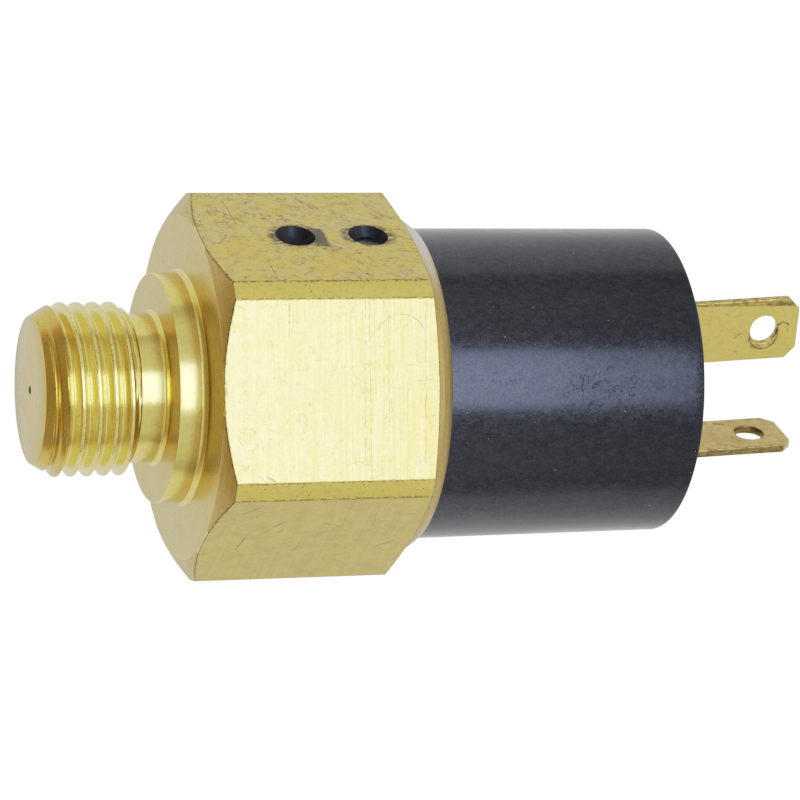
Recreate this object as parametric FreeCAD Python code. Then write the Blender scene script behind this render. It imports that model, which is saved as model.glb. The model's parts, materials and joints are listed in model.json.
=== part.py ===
"""Pressure switch with a threaded brass hexagon body and a blade-terminal housing.

Frame, in millimetres: the switch axis is +X, from the pressure port to the blades.
The origin is on that axis in the plane of the collar's sealing face.
The switch lies on one hexagon flat, so +Z is the normal of the opposite flat.
"""
import FreeCAD
import Part
import math
import os

V = FreeCAD.Vector
X_AXIS = V(1, 0, 0)
Z_AXIS = V(0, 0, 1)
ORIGIN = V(0, 0, 0)

# Body: hexagon, collar and threaded stud
ACROSS_FLATS = 32.0
CORNER_RADIUS = 17.97       # the corners are turned, so they are short cylindrical lands
HEX_FRONT = 2.59            # x of the hexagon's front face
HEX_REAR = 22.7             # x where the crimped lip starts
CHAMFER_ANGLE = 30.0        # front corner chamfer, from the front face
REAR_CHAMFER_ANGLE = 13.0   # shallow corner chamfer at the rear
COLLAR_RADIUS = 10.6
COLLAR_FILLET = 0.6
NECK_RADIUS = 6.86
NECK_START = -2.5
NECK_FILLET = 0.4
THREAD_RADIUS = 8.0         # M16 x 1.5, crest radius
THREAD_END = -3.0
NOSE = -11.37               # x of the nose face
NOSE_RADIUS = 6.78
LEAD_END = -9.35            # x where the lead chamfer reaches the full thread radius
ORIFICE_RADIUS = 0.43
ORIFICE_LENGTH = 2.0
PORT_RADIUS = 1.5

# Body: inside and crimped lip
CHAMBER_RADIUS = 7.0
CHAMBER_START = 8.0
PORT_CONE = 0.7             # length of the cone between the orifice and the port bore
SEAT = 9.5                  # x of the face that the diaphragm lies on
CAVITY_RADIUS = 13.2
FLANGE_STEP = 15.5          # x where the cavity widens for the housing flange
FLANGE_RADIUS = 15.2
FLANGE_REAR = 22.6
LIP_END = 24.25
LIP_START_RADIUS = 15.9
LIP_END_RADIUS = 15.0
CROSS_HOLE_RADIUS = 1.85
CROSS_HOLES = {"front": 11.6, "rear": 18.55}   # x of each hole
CROSS_HOLE_ANGLE = 60       # their flat, in degrees from +Z towards +Y
PLUG_FLOOR = {"front": CAVITY_RADIUS, "rear": 13.6}
PLUG_SINK = 0.15            # how far the compound's rim lies below the flat
PLUG_DISH = 0.5             # how far its skin dips below its rim

# Pressure side
DIAPHRAGM_THICKNESS = 0.25
DIAPHRAGM_SEAL_RADIUS = 0.65
DIAPHRAGM_SEAL_CENTRE = 10.2
SEAL_GROOVE_CLEARANCE = 0.1
STOP_FLANGE_RADIUS = 7.9
STOP_FLANGE_THICKNESS = 1.5
PISTON_TRAVEL = 0.5
PISTON_RADIUS = 6.3
RUNNING_GAP = 0.05
STOP_POCKET_GAP = 0.2       # round the piston's stop flange
PISTON_LENGTH = 3.9
GUIDE_STEP_BACK = 0.4       # the guide bore ends this far short of the piston's rear face
SLEEVE_FLANGE_END = 13.5
SLEEVE_BORE = 8.2
SLEEVE_OUTER = 9.6
SLEEVE_END = 26.5
BACKING_RING_THICKNESS = 1.2

# Range spring and its adjustment
SEAT_WASHER_RADIUS = 7.6
SEAT_WASHER_THICKNESS = 1.0
SEAT_RIM_HEIGHT = 0.9
SEAT_RIM_THICKNESS = 0.6
SPRING_WIRE_RADIUS = 0.75
SPRING_MEAN_RADIUS = 5.9
SPRING_TURNS = 4.0
NUT_START = 22.0
NUT_THICKNESS = 3.6
NUT_SLOT_WIDTH = 1.6
NUT_SLOT_DEPTH = 1.4
NUT_SLOT_ANGLE = 45         # of the first slot, from +Y
ROD_RADIUS = 1.5
ROD_SOCKET_DEPTH = 1.6
DISC_THICKNESS = 1.2

# Housing
HOUSING_SKIRT_RADIUS = 13.2
HOUSING_BORE = 11.0
HOUSING_FRONT_RADIUS = 14.6
HOUSING_REAR_RADIUS = 14.47
HOUSING_REAR = 49.12
HOUSING_WALL_START = 44.0   # x of the inner face of the end wall
HOUSING_EDGE = 0.25
RECESS_RADIUS = 12.6
RECESS_FLOOR = 47.3
POTTING_TOP = 48.55
MENISCUS_DEPTH = 0.35
MENISCUS_WIDTH = 1.6
HOUSING_SEAL_RADIUS = 0.5

# Terminals and contacts, laid out across a line turned from +Y towards +Z
LAYOUT_ANGLE = 23.3
BLADE_WIDTH = 6.3
BLADE_THICKNESS = 0.8
BLADE_LENGTH = 14.73
BLADE_CHAMFER = 1.1
BLADE_HOLE_RADIUS = 1.42
BLADE_HOLE_FROM_TIP = 3.5
RADIAL_BLADE_OFFSET = 4.63
RADIAL_BLADE_LEAN = 3.0     # degrees, away from the axis
TANGENTIAL_BLADE_OFFSET = -6.44
TANGENTIAL_BLADE_SHIFT = 0.88
TANGENTIAL_BLADE_LEAN = 2.5  # degrees, towards the axis
LEG_WIDTH = 4.0
LEG_OVERLAP = 0.6           # how far the leg runs into the blade
FOOT_LENGTH = 4.6
ARM_FRONT = 33.0            # x of the arm's front face
ARM_THICKNESS = 0.3
ARM_WIDTH = 6.4
ARM_ROOT = -10.6
ARM_TIP = 6.9
ARM_SHOULDER = -3.0         # where the arm starts to widen
ARM_PIVOT = -8.6            # the rivet, where the arm starts to bend
CONTACT_Y = 5.0
CONTACT_Z = 1.9
CONTACT_RADIUS = 1.4
CONTACT_TAIL_RADIUS = 1.2
CONTACT_TAIL = 0.4
CONTACT_THICKNESS = 0.6
CONTACT_GAP = 0.85
RIVET_RADIUS = 1.0
RIVET_HEAD_RADIUS = 1.8
RIVET_TAIL_RADIUS = 1.44
RIVET_HEAD = 0.6


def turned(points):
    """Solid of revolution about the switch axis from (x, radius) points."""
    wire = Part.makePolygon([V(x, r, 0) for x, r in points + points[:1]])
    return Part.Face(wire).revolve(ORIGIN, X_AXIS, 360)


def disc(radius, start, end):
    """Solid cylinder on the switch axis."""
    return Part.makeCylinder(radius, end - start, V(start, 0, 0), X_AXIS)


def ring(inner, outer, start, end):
    return disc(outer, start, end).cut(disc(inner, start - 1, end + 1))


def block(x_range, y_range, z_range):
    """Box between two values on each axis."""
    corner = V(x_range[0], y_range[0], z_range[0])
    sides = [r[1] - r[0] for r in (x_range, y_range, z_range)]
    return Part.makeBox(sides[0], sides[1], sides[2], corner)


def o_ring(x, mean_radius, section_radius):
    return Part.makeTorus(mean_radius, section_radius, V(x, 0, 0), X_AXIS)


def only_solid(shape):
    return shape.Solids[0] if len(shape.Solids) == 1 else shape


# Body -------------------------------------------------------------------------

def hexagon():
    """Hexagonal bar with its front corners chamfered and turned lands on its corners."""
    across_corners = ACROSS_FLATS / math.sqrt(3)
    corners = []
    for i in range(7):
        angle = math.radians(60 * i)
        corners.append(V(HEX_FRONT, across_corners * math.cos(angle), across_corners * math.sin(angle)))
    bar = Part.Face(Part.makePolygon(corners)).extrude(V(HEX_REAR - HEX_FRONT, 0, 0))
    front_radius = ACROSS_FLATS / 2
    rise = (CORNER_RADIUS - front_radius) * math.tan(math.radians(CHAMFER_ANGLE))
    rear_rise = (CORNER_RADIUS - front_radius) * math.tan(math.radians(REAR_CHAMFER_ANGLE))
    envelope = turned([
        (HEX_FRONT, 0),
        (HEX_FRONT, front_radius),
        (HEX_FRONT + rise, CORNER_RADIUS),
        (HEX_REAR - rear_rise, CORNER_RADIUS),
        (HEX_REAR, front_radius),
        (HEX_REAR, 0),
    ])
    return bar.common(envelope)


def corner_fillet(face, radius, size):
    """Ring that rounds the inside corner where a cylinder meets the front of a face."""
    square = ring(radius, radius + size, face - size, face)
    return square.cut(o_ring(face - size, radius + size, size))


def threaded_stud():
    """Threaded nose at its crest radius, with its lead chamfer and the cone that runs into the neck."""
    return turned([
        (NOSE, 0),
        (NOSE, NOSE_RADIUS),
        (LEAD_END, THREAD_RADIUS),
        (THREAD_END, THREAD_RADIUS),
        (NECK_START, NECK_RADIUS),
        (NECK_START, 0),
    ])


def body_cavity():
    """Everything that is bored from the rear of the body."""
    groove_inner = DIAPHRAGM_SEAL_CENTRE - DIAPHRAGM_SEAL_RADIUS - SEAL_GROOVE_CLEARANCE
    groove_outer = DIAPHRAGM_SEAL_CENTRE + DIAPHRAGM_SEAL_RADIUS + SEAL_GROOVE_CLEARANCE
    groove_floor = SEAT - 2 * DIAPHRAGM_SEAL_RADIUS
    bores = turned([
        (NOSE - 1, 0),
        (NOSE - 1, ORIFICE_RADIUS),
        (NOSE + ORIFICE_LENGTH, ORIFICE_RADIUS),
        (NOSE + ORIFICE_LENGTH + PORT_CONE, PORT_RADIUS),
        (CHAMBER_START, PORT_RADIUS),
        (CHAMBER_START, CHAMBER_RADIUS),
        (SEAT, CHAMBER_RADIUS),
        (SEAT, CAVITY_RADIUS),
        (FLANGE_STEP, CAVITY_RADIUS),
        (FLANGE_STEP, FLANGE_RADIUS),
        (FLANGE_REAR, FLANGE_RADIUS),
        (LIP_END, HOUSING_FRONT_RADIUS),
        (LIP_END + 1, HOUSING_FRONT_RADIUS),
        (LIP_END + 1, 0),
    ])
    return bores.fuse(ring(groove_inner, groove_outer, groove_floor, SEAT))


def on_hole_flat(shape):
    """Turn a shape built on the top flat to the flat with the cross holes."""
    shape.rotate(ORIGIN, X_AXIS, -CROSS_HOLE_ANGLE)
    return shape


def body():
    front = disc(COLLAR_RADIUS, 0, HEX_FRONT)
    neck = disc(NECK_RADIUS, NECK_START, 0)
    neck_root = corner_fillet(0, NECK_RADIUS, NECK_FILLET)
    collar_root = corner_fillet(HEX_FRONT, COLLAR_RADIUS, COLLAR_FILLET)
    lip = turned([
        (HEX_REAR, 0),
        (HEX_REAR, LIP_START_RADIUS),
        (LIP_END, LIP_END_RADIUS),
        (LIP_END, 0),
    ])
    outer = threaded_stud().fuse([neck, neck_root, front, collar_root, hexagon(), lip])
    holes = []
    for x in CROSS_HOLES.values():
        reach = ACROSS_FLATS / 2 - CAVITY_RADIUS + 2
        hole = Part.makeCylinder(CROSS_HOLE_RADIUS, reach, V(x, 0, CAVITY_RADIUS - 1), Z_AXIS)
        holes.append(on_hole_flat(hole))
    return outer.cut([body_cavity()] + holes)


def sealing_plug(place):
    """Black compound in a cross hole, with a dished skin just under the flat."""
    x = CROSS_HOLES[place]
    skin = ACROSS_FLATS / 2 - PLUG_SINK
    plug = Part.makeCylinder(CROSS_HOLE_RADIUS, skin - PLUG_FLOOR[place] + 1,
                             V(x, 0, PLUG_FLOOR[place] - 1), Z_AXIS)
    dish_radius = (CROSS_HOLE_RADIUS ** 2 + PLUG_DISH ** 2) / (2 * PLUG_DISH)
    dish = Part.makeSphere(dish_radius, V(x, 0, skin + dish_radius - PLUG_DISH))
    return only_solid(on_hole_flat(plug.cut([dish, disc(PLUG_FLOOR[place], x - 5, x + 5)])))


# Pressure side -----------------------------------------------------------------

DIAPHRAGM_REAR = SEAT + DIAPHRAGM_THICKNESS
STOP_FLANGE_REAR = DIAPHRAGM_REAR + STOP_FLANGE_THICKNESS
PISTON_REAR = DIAPHRAGM_REAR + PISTON_LENGTH
SEAT_WASHER_REAR = PISTON_REAR + SEAT_WASHER_THICKNESS
SPRING_LENGTH = NUT_START - SEAT_WASHER_REAR
DISC_REAR = SLEEVE_END + DISC_THICKNESS
RING_REAR = SLEEVE_FLANGE_END + BACKING_RING_THICKNESS


def guide_sleeve():
    """Clamps the diaphragm with its flange, guides the piston and holds the adjusting nut."""
    outside = disc(CAVITY_RADIUS, DIAPHRAGM_REAR, SLEEVE_FLANGE_END)
    tube = disc(SLEEVE_OUTER, DIAPHRAGM_REAR, SLEEVE_END)
    stop = STOP_FLANGE_REAR + PISTON_TRAVEL
    bore = turned([
        (DIAPHRAGM_REAR - 1, 0),
        (DIAPHRAGM_REAR - 1, STOP_FLANGE_RADIUS + STOP_POCKET_GAP),
        (stop, STOP_FLANGE_RADIUS + STOP_POCKET_GAP),
        (stop, PISTON_RADIUS + RUNNING_GAP),
        (PISTON_REAR - GUIDE_STEP_BACK, PISTON_RADIUS + RUNNING_GAP),
        (PISTON_REAR - GUIDE_STEP_BACK, SLEEVE_BORE),
        (SLEEVE_END + 1, SLEEVE_BORE),
        (SLEEVE_END + 1, 0),
    ])
    return outside.fuse(tube).cut(bore)


def piston():
    socket_floor = PISTON_REAR - ROD_SOCKET_DEPTH
    flange = disc(STOP_FLANGE_RADIUS, DIAPHRAGM_REAR, STOP_FLANGE_REAR)
    skirt = disc(PISTON_RADIUS, DIAPHRAGM_REAR, PISTON_REAR)
    return flange.fuse(skirt).cut(disc(ROD_RADIUS, socket_floor, PISTON_REAR + 1))


def spring_seat():
    """Dished washer whose rim keeps the spring centred."""
    rim_inner = SEAT_WASHER_RADIUS - SEAT_RIM_THICKNESS
    washer = ring(ROD_RADIUS, SEAT_WASHER_RADIUS, PISTON_REAR, SEAT_WASHER_REAR)
    return washer.fuse(ring(rim_inner, SEAT_WASHER_RADIUS, SEAT_WASHER_REAR - 0.2,
                            SEAT_WASHER_REAR + SEAT_RIM_HEIGHT))


def range_spring():
    """Helical compression spring between the seat and the adjusting nut."""
    rise = SPRING_LENGTH - 2 * SPRING_WIRE_RADIUS
    helix = Part.makeHelix(rise / SPRING_TURNS, rise, SPRING_MEAN_RADIUS)
    section = Part.Wire(Part.makeCircle(SPRING_WIRE_RADIUS, V(SPRING_MEAN_RADIUS, 0, 0), V(0, 1, 0)))
    coil = Part.Wire(helix).makePipeShell([section], True, True)
    coil.rotate(ORIGIN, V(0, 1, 0), 90)
    coil.translate(V(SEAT_WASHER_REAR + SPRING_WIRE_RADIUS, 0, 0))
    trim = disc(SLEEVE_BORE, SEAT_WASHER_REAR, NUT_START)
    return only_solid(coil.common(trim))


def adjusting_nut():
    """Round nut with two crossed spanner slots in its rear face."""
    rear = NUT_START + NUT_THICKNESS
    nut = ring(ROD_RADIUS + RUNNING_GAP, SLEEVE_BORE, NUT_START, rear)
    slots = []
    for angle in (0, 90):
        slot = block((rear - NUT_SLOT_DEPTH, rear + 1), (-SLEEVE_BORE - 1, SLEEVE_BORE + 1),
                     (-NUT_SLOT_WIDTH / 2, NUT_SLOT_WIDTH / 2))
        slot.rotate(ORIGIN, X_AXIS, angle + NUT_SLOT_ANGLE)
        slots.append(slot)
    return nut.cut(slots)


def push_rod():
    """Insulating rod with a rounded tip, from the piston's socket to the contact arm."""
    start = PISTON_REAR - ROD_SOCKET_DEPTH
    shank = disc(ROD_RADIUS, start, ARM_FRONT - ROD_RADIUS)
    return shank.fuse(Part.makeSphere(ROD_RADIUS, V(ARM_FRONT - ROD_RADIUS, 0, 0)))


# Housing -----------------------------------------------------------------------

def housing_radius(x):
    """Radius of the housing's drafted outside at x."""
    part = (x - LIP_END) / (HOUSING_REAR - LIP_END)
    return HOUSING_FRONT_RADIUS + part * (HOUSING_REAR_RADIUS - HOUSING_FRONT_RADIUS)


def housing():
    """Moulded cup with a flange under the crimped lip and a recessed end wall."""
    flange_front = FLANGE_STEP + 2 * HOUSING_SEAL_RADIUS
    edge_start = HOUSING_REAR - HOUSING_EDGE
    outside = turned([
        (RING_REAR, HOUSING_BORE),
        (RING_REAR, HOUSING_SKIRT_RADIUS),
        (flange_front, HOUSING_SKIRT_RADIUS),
        (flange_front, FLANGE_RADIUS),
        (FLANGE_REAR, FLANGE_RADIUS),
        (LIP_END, HOUSING_FRONT_RADIUS),
        (edge_start, housing_radius(edge_start)),
        (HOUSING_REAR, HOUSING_REAR_RADIUS - HOUSING_EDGE),
        (HOUSING_REAR, RECESS_RADIUS),
        (RECESS_FLOOR, RECESS_RADIUS),
        (RECESS_FLOOR, 0),
        (HOUSING_WALL_START, 0),
        (HOUSING_WALL_START, HOUSING_BORE),
    ])
    rear_hole = Part.makeCylinder(CROSS_HOLE_RADIUS, ACROSS_FLATS, V(CROSS_HOLES["rear"], 0, 0), Z_AXIS)
    pocket = on_hole_flat(rear_hole).cut(disc(PLUG_FLOOR["rear"], FLANGE_STEP, FLANGE_REAR))
    return outside.cut([pocket, terminal_radial(), terminal_tangential()])


def potting_compound():
    """Resin that fills the recess round the blades, with a shallow meniscus."""
    resin = turned([
        (RECESS_FLOOR, 0),
        (RECESS_FLOOR, RECESS_RADIUS),
        (POTTING_TOP, RECESS_RADIUS),
        (POTTING_TOP - MENISCUS_DEPTH, RECESS_RADIUS - MENISCUS_WIDTH),
        (POTTING_TOP - MENISCUS_DEPTH, 0),
    ])
    return resin.cut([terminal_radial(), terminal_tangential()])


# Terminals and contacts ----------------------------------------------------------

def place_layout(shape):
    """Turn a shape from the layout's axes to the switch's."""
    shape.rotate(ORIGIN, X_AXIS, LAYOUT_ANGLE)
    return shape


def blade():
    """Flat blade along X from the housing's rear, its width along Y, its thickness along Z."""
    start = RECESS_FLOOR - HOUSING_REAR
    half = BLADE_WIDTH / 2
    outline = [
        V(start, -half, 0),
        V(BLADE_LENGTH - BLADE_CHAMFER, -half, 0),
        V(BLADE_LENGTH, -half + BLADE_CHAMFER, 0),
        V(BLADE_LENGTH, half - BLADE_CHAMFER, 0),
        V(BLADE_LENGTH - BLADE_CHAMFER, half, 0),
        V(start, half, 0),
    ]
    plate = Part.Face(Part.makePolygon(outline + outline[:1])).extrude(V(0, 0, BLADE_THICKNESS))
    plate.translate(V(0, 0, -BLADE_THICKNESS / 2))
    hole = Part.makeCylinder(BLADE_HOLE_RADIUS, 2, V(BLADE_LENGTH - BLADE_HOLE_FROM_TIP, 0, -1), Z_AXIS)
    return plate.cut(hole)


FOOT_FRONT = ARM_FRONT + ARM_THICKNESS
FIXED_CONTACT_FRONT = FOOT_FRONT + CONTACT_THICKNESS + CONTACT_GAP
FIXED_FOOT_FRONT = FIXED_CONTACT_FRONT + CONTACT_THICKNESS
HALF_THICKNESS = BLADE_THICKNESS / 2


def sheet_hole(front, y, z):
    """Cutter for a rivet hole through a sheet whose front face is at x = front."""
    return Part.makeCylinder(RIVET_RADIUS, 2 + BLADE_THICKNESS, V(front - 1, y, z), X_AXIS)


def terminal_radial():
    """Blade whose width runs along a radius; its foot carries the fixed contact."""
    tab = blade()
    tab.rotate(ORIGIN, Z_AXIS, RADIAL_BLADE_LEAN)
    tab.translate(V(HOUSING_REAR, RADIAL_BLADE_OFFSET, 0))
    side = (RADIAL_BLADE_OFFSET - LEG_WIDTH / 2, RADIAL_BLADE_OFFSET + LEG_WIDTH / 2)
    thickness = (-HALF_THICKNESS, HALF_THICKNESS)
    leg = block((FIXED_FOOT_FRONT, RECESS_FLOOR + LEG_OVERLAP), side, thickness)
    foot = block((FIXED_FOOT_FRONT, FIXED_FOOT_FRONT + BLADE_THICKNESS), side,
                 (-HALF_THICKNESS, FOOT_LENGTH - HALF_THICKNESS))
    return place_layout(tab.fuse([leg, foot]).cut(sheet_hole(FIXED_FOOT_FRONT, CONTACT_Y, CONTACT_Z)))


def terminal_tangential():
    """Blade whose width runs across the radius; its foot holds the contact arm."""
    tab = blade()
    tab.rotate(ORIGIN, X_AXIS, 90)
    tab.rotate(ORIGIN, Z_AXIS, TANGENTIAL_BLADE_LEAN)
    tab.translate(V(HOUSING_REAR, TANGENTIAL_BLADE_OFFSET, TANGENTIAL_BLADE_SHIFT))
    side = (-LEG_WIDTH / 2, LEG_WIDTH / 2)
    outer = TANGENTIAL_BLADE_OFFSET - HALF_THICKNESS
    inner = TANGENTIAL_BLADE_OFFSET + HALF_THICKNESS
    leg = block((FOOT_FRONT, RECESS_FLOOR + LEG_OVERLAP), (outer, inner), side)
    foot = block((FOOT_FRONT, FOOT_FRONT + BLADE_THICKNESS), (inner - FOOT_LENGTH, inner), side)
    return place_layout(tab.fuse([leg, foot]).cut(sheet_hole(FOOT_FRONT, ARM_PIVOT, 0)))


def contact_arm():
    """Springy leaf from its rivet, across the push rod, to the moving contact."""
    root_half = LEG_WIDTH / 2
    tip_half = ARM_WIDTH / 2
    outline = [
        V(FOOT_FRONT, ARM_ROOT, -root_half),
        V(FOOT_FRONT, ARM_ROOT, root_half),
        V(FOOT_FRONT, ARM_SHOULDER, root_half),
        V(FOOT_FRONT, 0, tip_half),
        V(FOOT_FRONT, ARM_TIP, tip_half),
        V(FOOT_FRONT, ARM_TIP, -root_half),
    ]
    leaf = Part.Face(Part.makePolygon(outline + outline[:1])).extrude(V(-ARM_THICKNESS, 0, 0))
    rivet_hole = sheet_hole(ARM_FRONT, ARM_PIVOT, 0)
    contact_hole = sheet_hole(ARM_FRONT, CONTACT_Y, CONTACT_Z)
    return place_layout(leaf.cut([rivet_hole, contact_hole]))


def rivet(y, z, head_start, head_end, shank_end, tail_end):
    """Rivet along X: a head, a shank through the sheet and a closed tail."""
    head = Part.makeCylinder(RIVET_HEAD_RADIUS, head_end - head_start, V(head_start, y, z), X_AXIS)
    shank = Part.makeCylinder(RIVET_RADIUS, shank_end - head_end, V(head_end, y, z), X_AXIS)
    tail = Part.makeCylinder(RIVET_TAIL_RADIUS, tail_end - shank_end, V(shank_end, y, z), X_AXIS)
    return head.fuse([shank, tail])


def arm_rivet():
    sheet_rear = FOOT_FRONT + BLADE_THICKNESS
    head_start = ARM_FRONT - RIVET_HEAD
    tail_end = sheet_rear + RIVET_HEAD
    return place_layout(rivet(ARM_PIVOT, 0, head_start, ARM_FRONT, sheet_rear, tail_end))


def contact_button(face, sheet_near, sheet_far, tail):
    """Contact rivet along X between a domed face and its tail behind the sheet."""
    y, z = CONTACT_Y, CONTACT_Z
    low, high = sorted((face, sheet_near))
    head = Part.makeCylinder(CONTACT_RADIUS, high - low, V(low, y, z), X_AXIS)
    low, high = sorted((sheet_near, sheet_far))
    shank = Part.makeCylinder(RIVET_RADIUS, high - low, V(low, y, z), X_AXIS)
    low, high = sorted((sheet_far, tail))
    end = Part.makeCylinder(CONTACT_TAIL_RADIUS, high - low, V(low, y, z), X_AXIS)
    return place_layout(head.fuse([shank, end]))


def moving_contact():
    return contact_button(FOOT_FRONT + CONTACT_THICKNESS, FOOT_FRONT, ARM_FRONT, ARM_FRONT - CONTACT_TAIL)


def fixed_contact():
    foot_rear = FIXED_FOOT_FRONT + BLADE_THICKNESS
    return contact_button(FIXED_CONTACT_FRONT, FIXED_FOOT_FRONT, foot_rear, foot_rear + CONTACT_TAIL)


def diaphragm_seal():
    return o_ring(SEAT - DIAPHRAGM_SEAL_RADIUS, DIAPHRAGM_SEAL_CENTRE, DIAPHRAGM_SEAL_RADIUS)


def diaphragm():
    return disc(CAVITY_RADIUS, SEAT, DIAPHRAGM_REAR)


def backing_ring():
    """Washer between the guide sleeve's flange and the housing's skirt."""
    return ring(SLEEVE_OUTER, CAVITY_RADIUS, SLEEVE_FLANGE_END, RING_REAR)


def insulating_disc():
    """Board behind the sleeve, with a hole that guides the push rod."""
    return ring(ROD_RADIUS + RUNNING_GAP, HOUSING_BORE, SLEEVE_END, DISC_REAR)


def housing_seal():
    middle = (HOUSING_SKIRT_RADIUS + FLANGE_RADIUS) / 2
    return o_ring(FLANGE_STEP + HOUSING_SEAL_RADIUS, middle, HOUSING_SEAL_RADIUS)


PARTS = {
    "body": body,
    "sealing_plug_front": lambda: sealing_plug("front"),
    "sealing_plug_rear": lambda: sealing_plug("rear"),
    "diaphragm_seal": diaphragm_seal,
    "diaphragm": diaphragm,
    "guide_sleeve": guide_sleeve,
    "piston": piston,
    "spring_seat": spring_seat,
    "range_spring": range_spring,
    "adjusting_nut": adjusting_nut,
    "push_rod": push_rod,
    "backing_ring": backing_ring,
    "insulating_disc": insulating_disc,
    "housing_seal": housing_seal,
    "housing": housing,
    "potting_compound": potting_compound,
    "terminal_radial": terminal_radial,
    "terminal_tangential": terminal_tangential,
    "contact_arm": contact_arm,
    "arm_rivet": arm_rivet,
    "moving_contact": moving_contact,
    "fixed_contact": fixed_contact,
}


LEFT_AS_CUT = ("body", "range_spring")    # these two keep the seams of their surfaces


def main():
    os.makedirs("parts", exist_ok=True)
    for name, make in PARTS.items():
        shape = make()
        if name not in LEFT_AS_CUT:
            shape = shape.removeSplitter()
        shape.exportStep("parts/" + name + ".step")
        print(name, shape.isValid(), len(shape.Solids), round(shape.Volume, 1))


main()
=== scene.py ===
"""Looks of the pressure switch: finely turned brass body, moulded housing, stamped blades."""
import json
from math import acos, atan2, cos, degrees, exp, hypot, pi, radians, sin, tan

import bmesh
import bpy
from mathutils import Matrix, Vector, noise

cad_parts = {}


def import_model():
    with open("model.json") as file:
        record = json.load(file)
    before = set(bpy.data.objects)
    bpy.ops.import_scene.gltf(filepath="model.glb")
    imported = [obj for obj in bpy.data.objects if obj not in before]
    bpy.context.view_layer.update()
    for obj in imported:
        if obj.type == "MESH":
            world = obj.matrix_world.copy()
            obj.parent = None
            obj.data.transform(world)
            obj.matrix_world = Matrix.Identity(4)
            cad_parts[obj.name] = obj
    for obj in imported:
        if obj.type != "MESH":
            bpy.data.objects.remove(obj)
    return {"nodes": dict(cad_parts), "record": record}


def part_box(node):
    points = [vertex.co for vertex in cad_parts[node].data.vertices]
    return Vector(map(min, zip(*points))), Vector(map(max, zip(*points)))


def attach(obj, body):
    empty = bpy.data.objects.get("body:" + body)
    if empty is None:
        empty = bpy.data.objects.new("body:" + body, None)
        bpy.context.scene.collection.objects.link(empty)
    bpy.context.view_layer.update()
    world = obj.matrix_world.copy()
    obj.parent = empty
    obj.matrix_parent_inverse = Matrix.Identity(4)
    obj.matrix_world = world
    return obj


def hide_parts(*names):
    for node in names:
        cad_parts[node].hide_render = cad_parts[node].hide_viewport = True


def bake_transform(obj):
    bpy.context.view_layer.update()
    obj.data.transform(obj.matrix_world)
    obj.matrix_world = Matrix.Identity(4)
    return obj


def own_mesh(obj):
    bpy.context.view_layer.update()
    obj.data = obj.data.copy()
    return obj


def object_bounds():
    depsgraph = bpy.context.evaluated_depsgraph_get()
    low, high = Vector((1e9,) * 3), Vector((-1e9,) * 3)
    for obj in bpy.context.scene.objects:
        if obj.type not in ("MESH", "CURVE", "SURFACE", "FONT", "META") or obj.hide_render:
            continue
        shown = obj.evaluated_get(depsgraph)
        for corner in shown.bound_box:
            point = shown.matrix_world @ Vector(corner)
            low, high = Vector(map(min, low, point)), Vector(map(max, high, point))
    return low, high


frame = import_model()
CAD_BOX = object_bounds()
MM = 0.001

# Body, in millimetres, on the same datum as the CAD model: x = 0 is the collar's sealing face
BODY_LOW, BODY_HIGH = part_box("body")
NOSE = BODY_LOW.x / MM
LIP_END = BODY_HIGH.x / MM
HALF_FLATS = BODY_HIGH.z / MM
CORNER_RADIUS = 17.95
HEX_FRONT = 2.59
HEX_REAR = 22.7
SECTOR = radians(60)            # angle that one of the hexagon's sides takes
CHAMFER_ANGLE = radians(30)
REAR_CHAMFER_ANGLE = radians(13)
COLLAR_RADIUS = 10.6
NECK_RADIUS = 6.86
NECK_START = -2.5
NOSE_RADIUS = 6.78
THREAD_RADIUS = 7.99
THREAD_PITCH = 1.52
THREAD_DEPTH = 0.9
FLANK_ANGLE = radians(60)
STUD_START = NOSE + 0.04        # x where the nose's face turns into the stud's side
CREST_HALF_WIDTH = 0.15
CREST_AT_TOP = -8.55        # x of one crest where the thread faces +Y
LEAD_SLOPE = 0.604
LEAD_END = -9.4             # x where the lead chamfer reaches the crests
ORIFICE_RADIUS = 0.43
ORIFICE_END = NOSE + 2.0
PORT_START = NOSE + 2.7         # x where the cone behind the orifice reaches the port's radius
PORT_RADIUS = 1.5
CHAMBER_START = 8.0
CHAMBER_RADIUS = 7.0
SEAT = 9.5                      # x of the face that the diaphragm lies on
CAVITY_RADIUS = 13.2
FLANGE_STEP = 15.5              # x where the cavity widens for the housing's flange
FLANGE_RADIUS = 15.2
HOLE_RADIUS = 1.85
HOLE_PLACES = {"sealing_plug_front": 11.6, "sealing_plug_rear": 18.55}
HOLE_FLAT_ANGLE = radians(60)
TO_HOLE_FLAT = Matrix.Rotation(-HOLE_FLAT_ANGLE, 4, "X")
PLUG_SINK = 0.03
PLUG_DISH = 1.3
PLUG_LEAN = 0.3             # how far the bottom of the dish lies off centre, each way
PLUG_FLOORS = {"sealing_plug_front": 13.25, "sealing_plug_rear": 13.65}

# Housing
HOUSING_LOW, HOUSING_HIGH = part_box("housing")
HOUSING_START = HOUSING_LOW.x / MM
HOUSING_REAR = HOUSING_HIGH.x / MM
HOUSING_FRONT_RADIUS = 14.6
HOUSING_REAR_RADIUS = 14.47
HOUSING_FLANGE = (16.5, HEX_REAR - 0.15)    # x of the flange's two faces
HOUSING_BORE = 11.0
HOUSING_WALL_START = 44.0       # x of the inner face of the end wall
RECESS_RADIUS = 12.6
RECESS_FLOOR = 47.3
POTTING_TOP = 48.5

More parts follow.
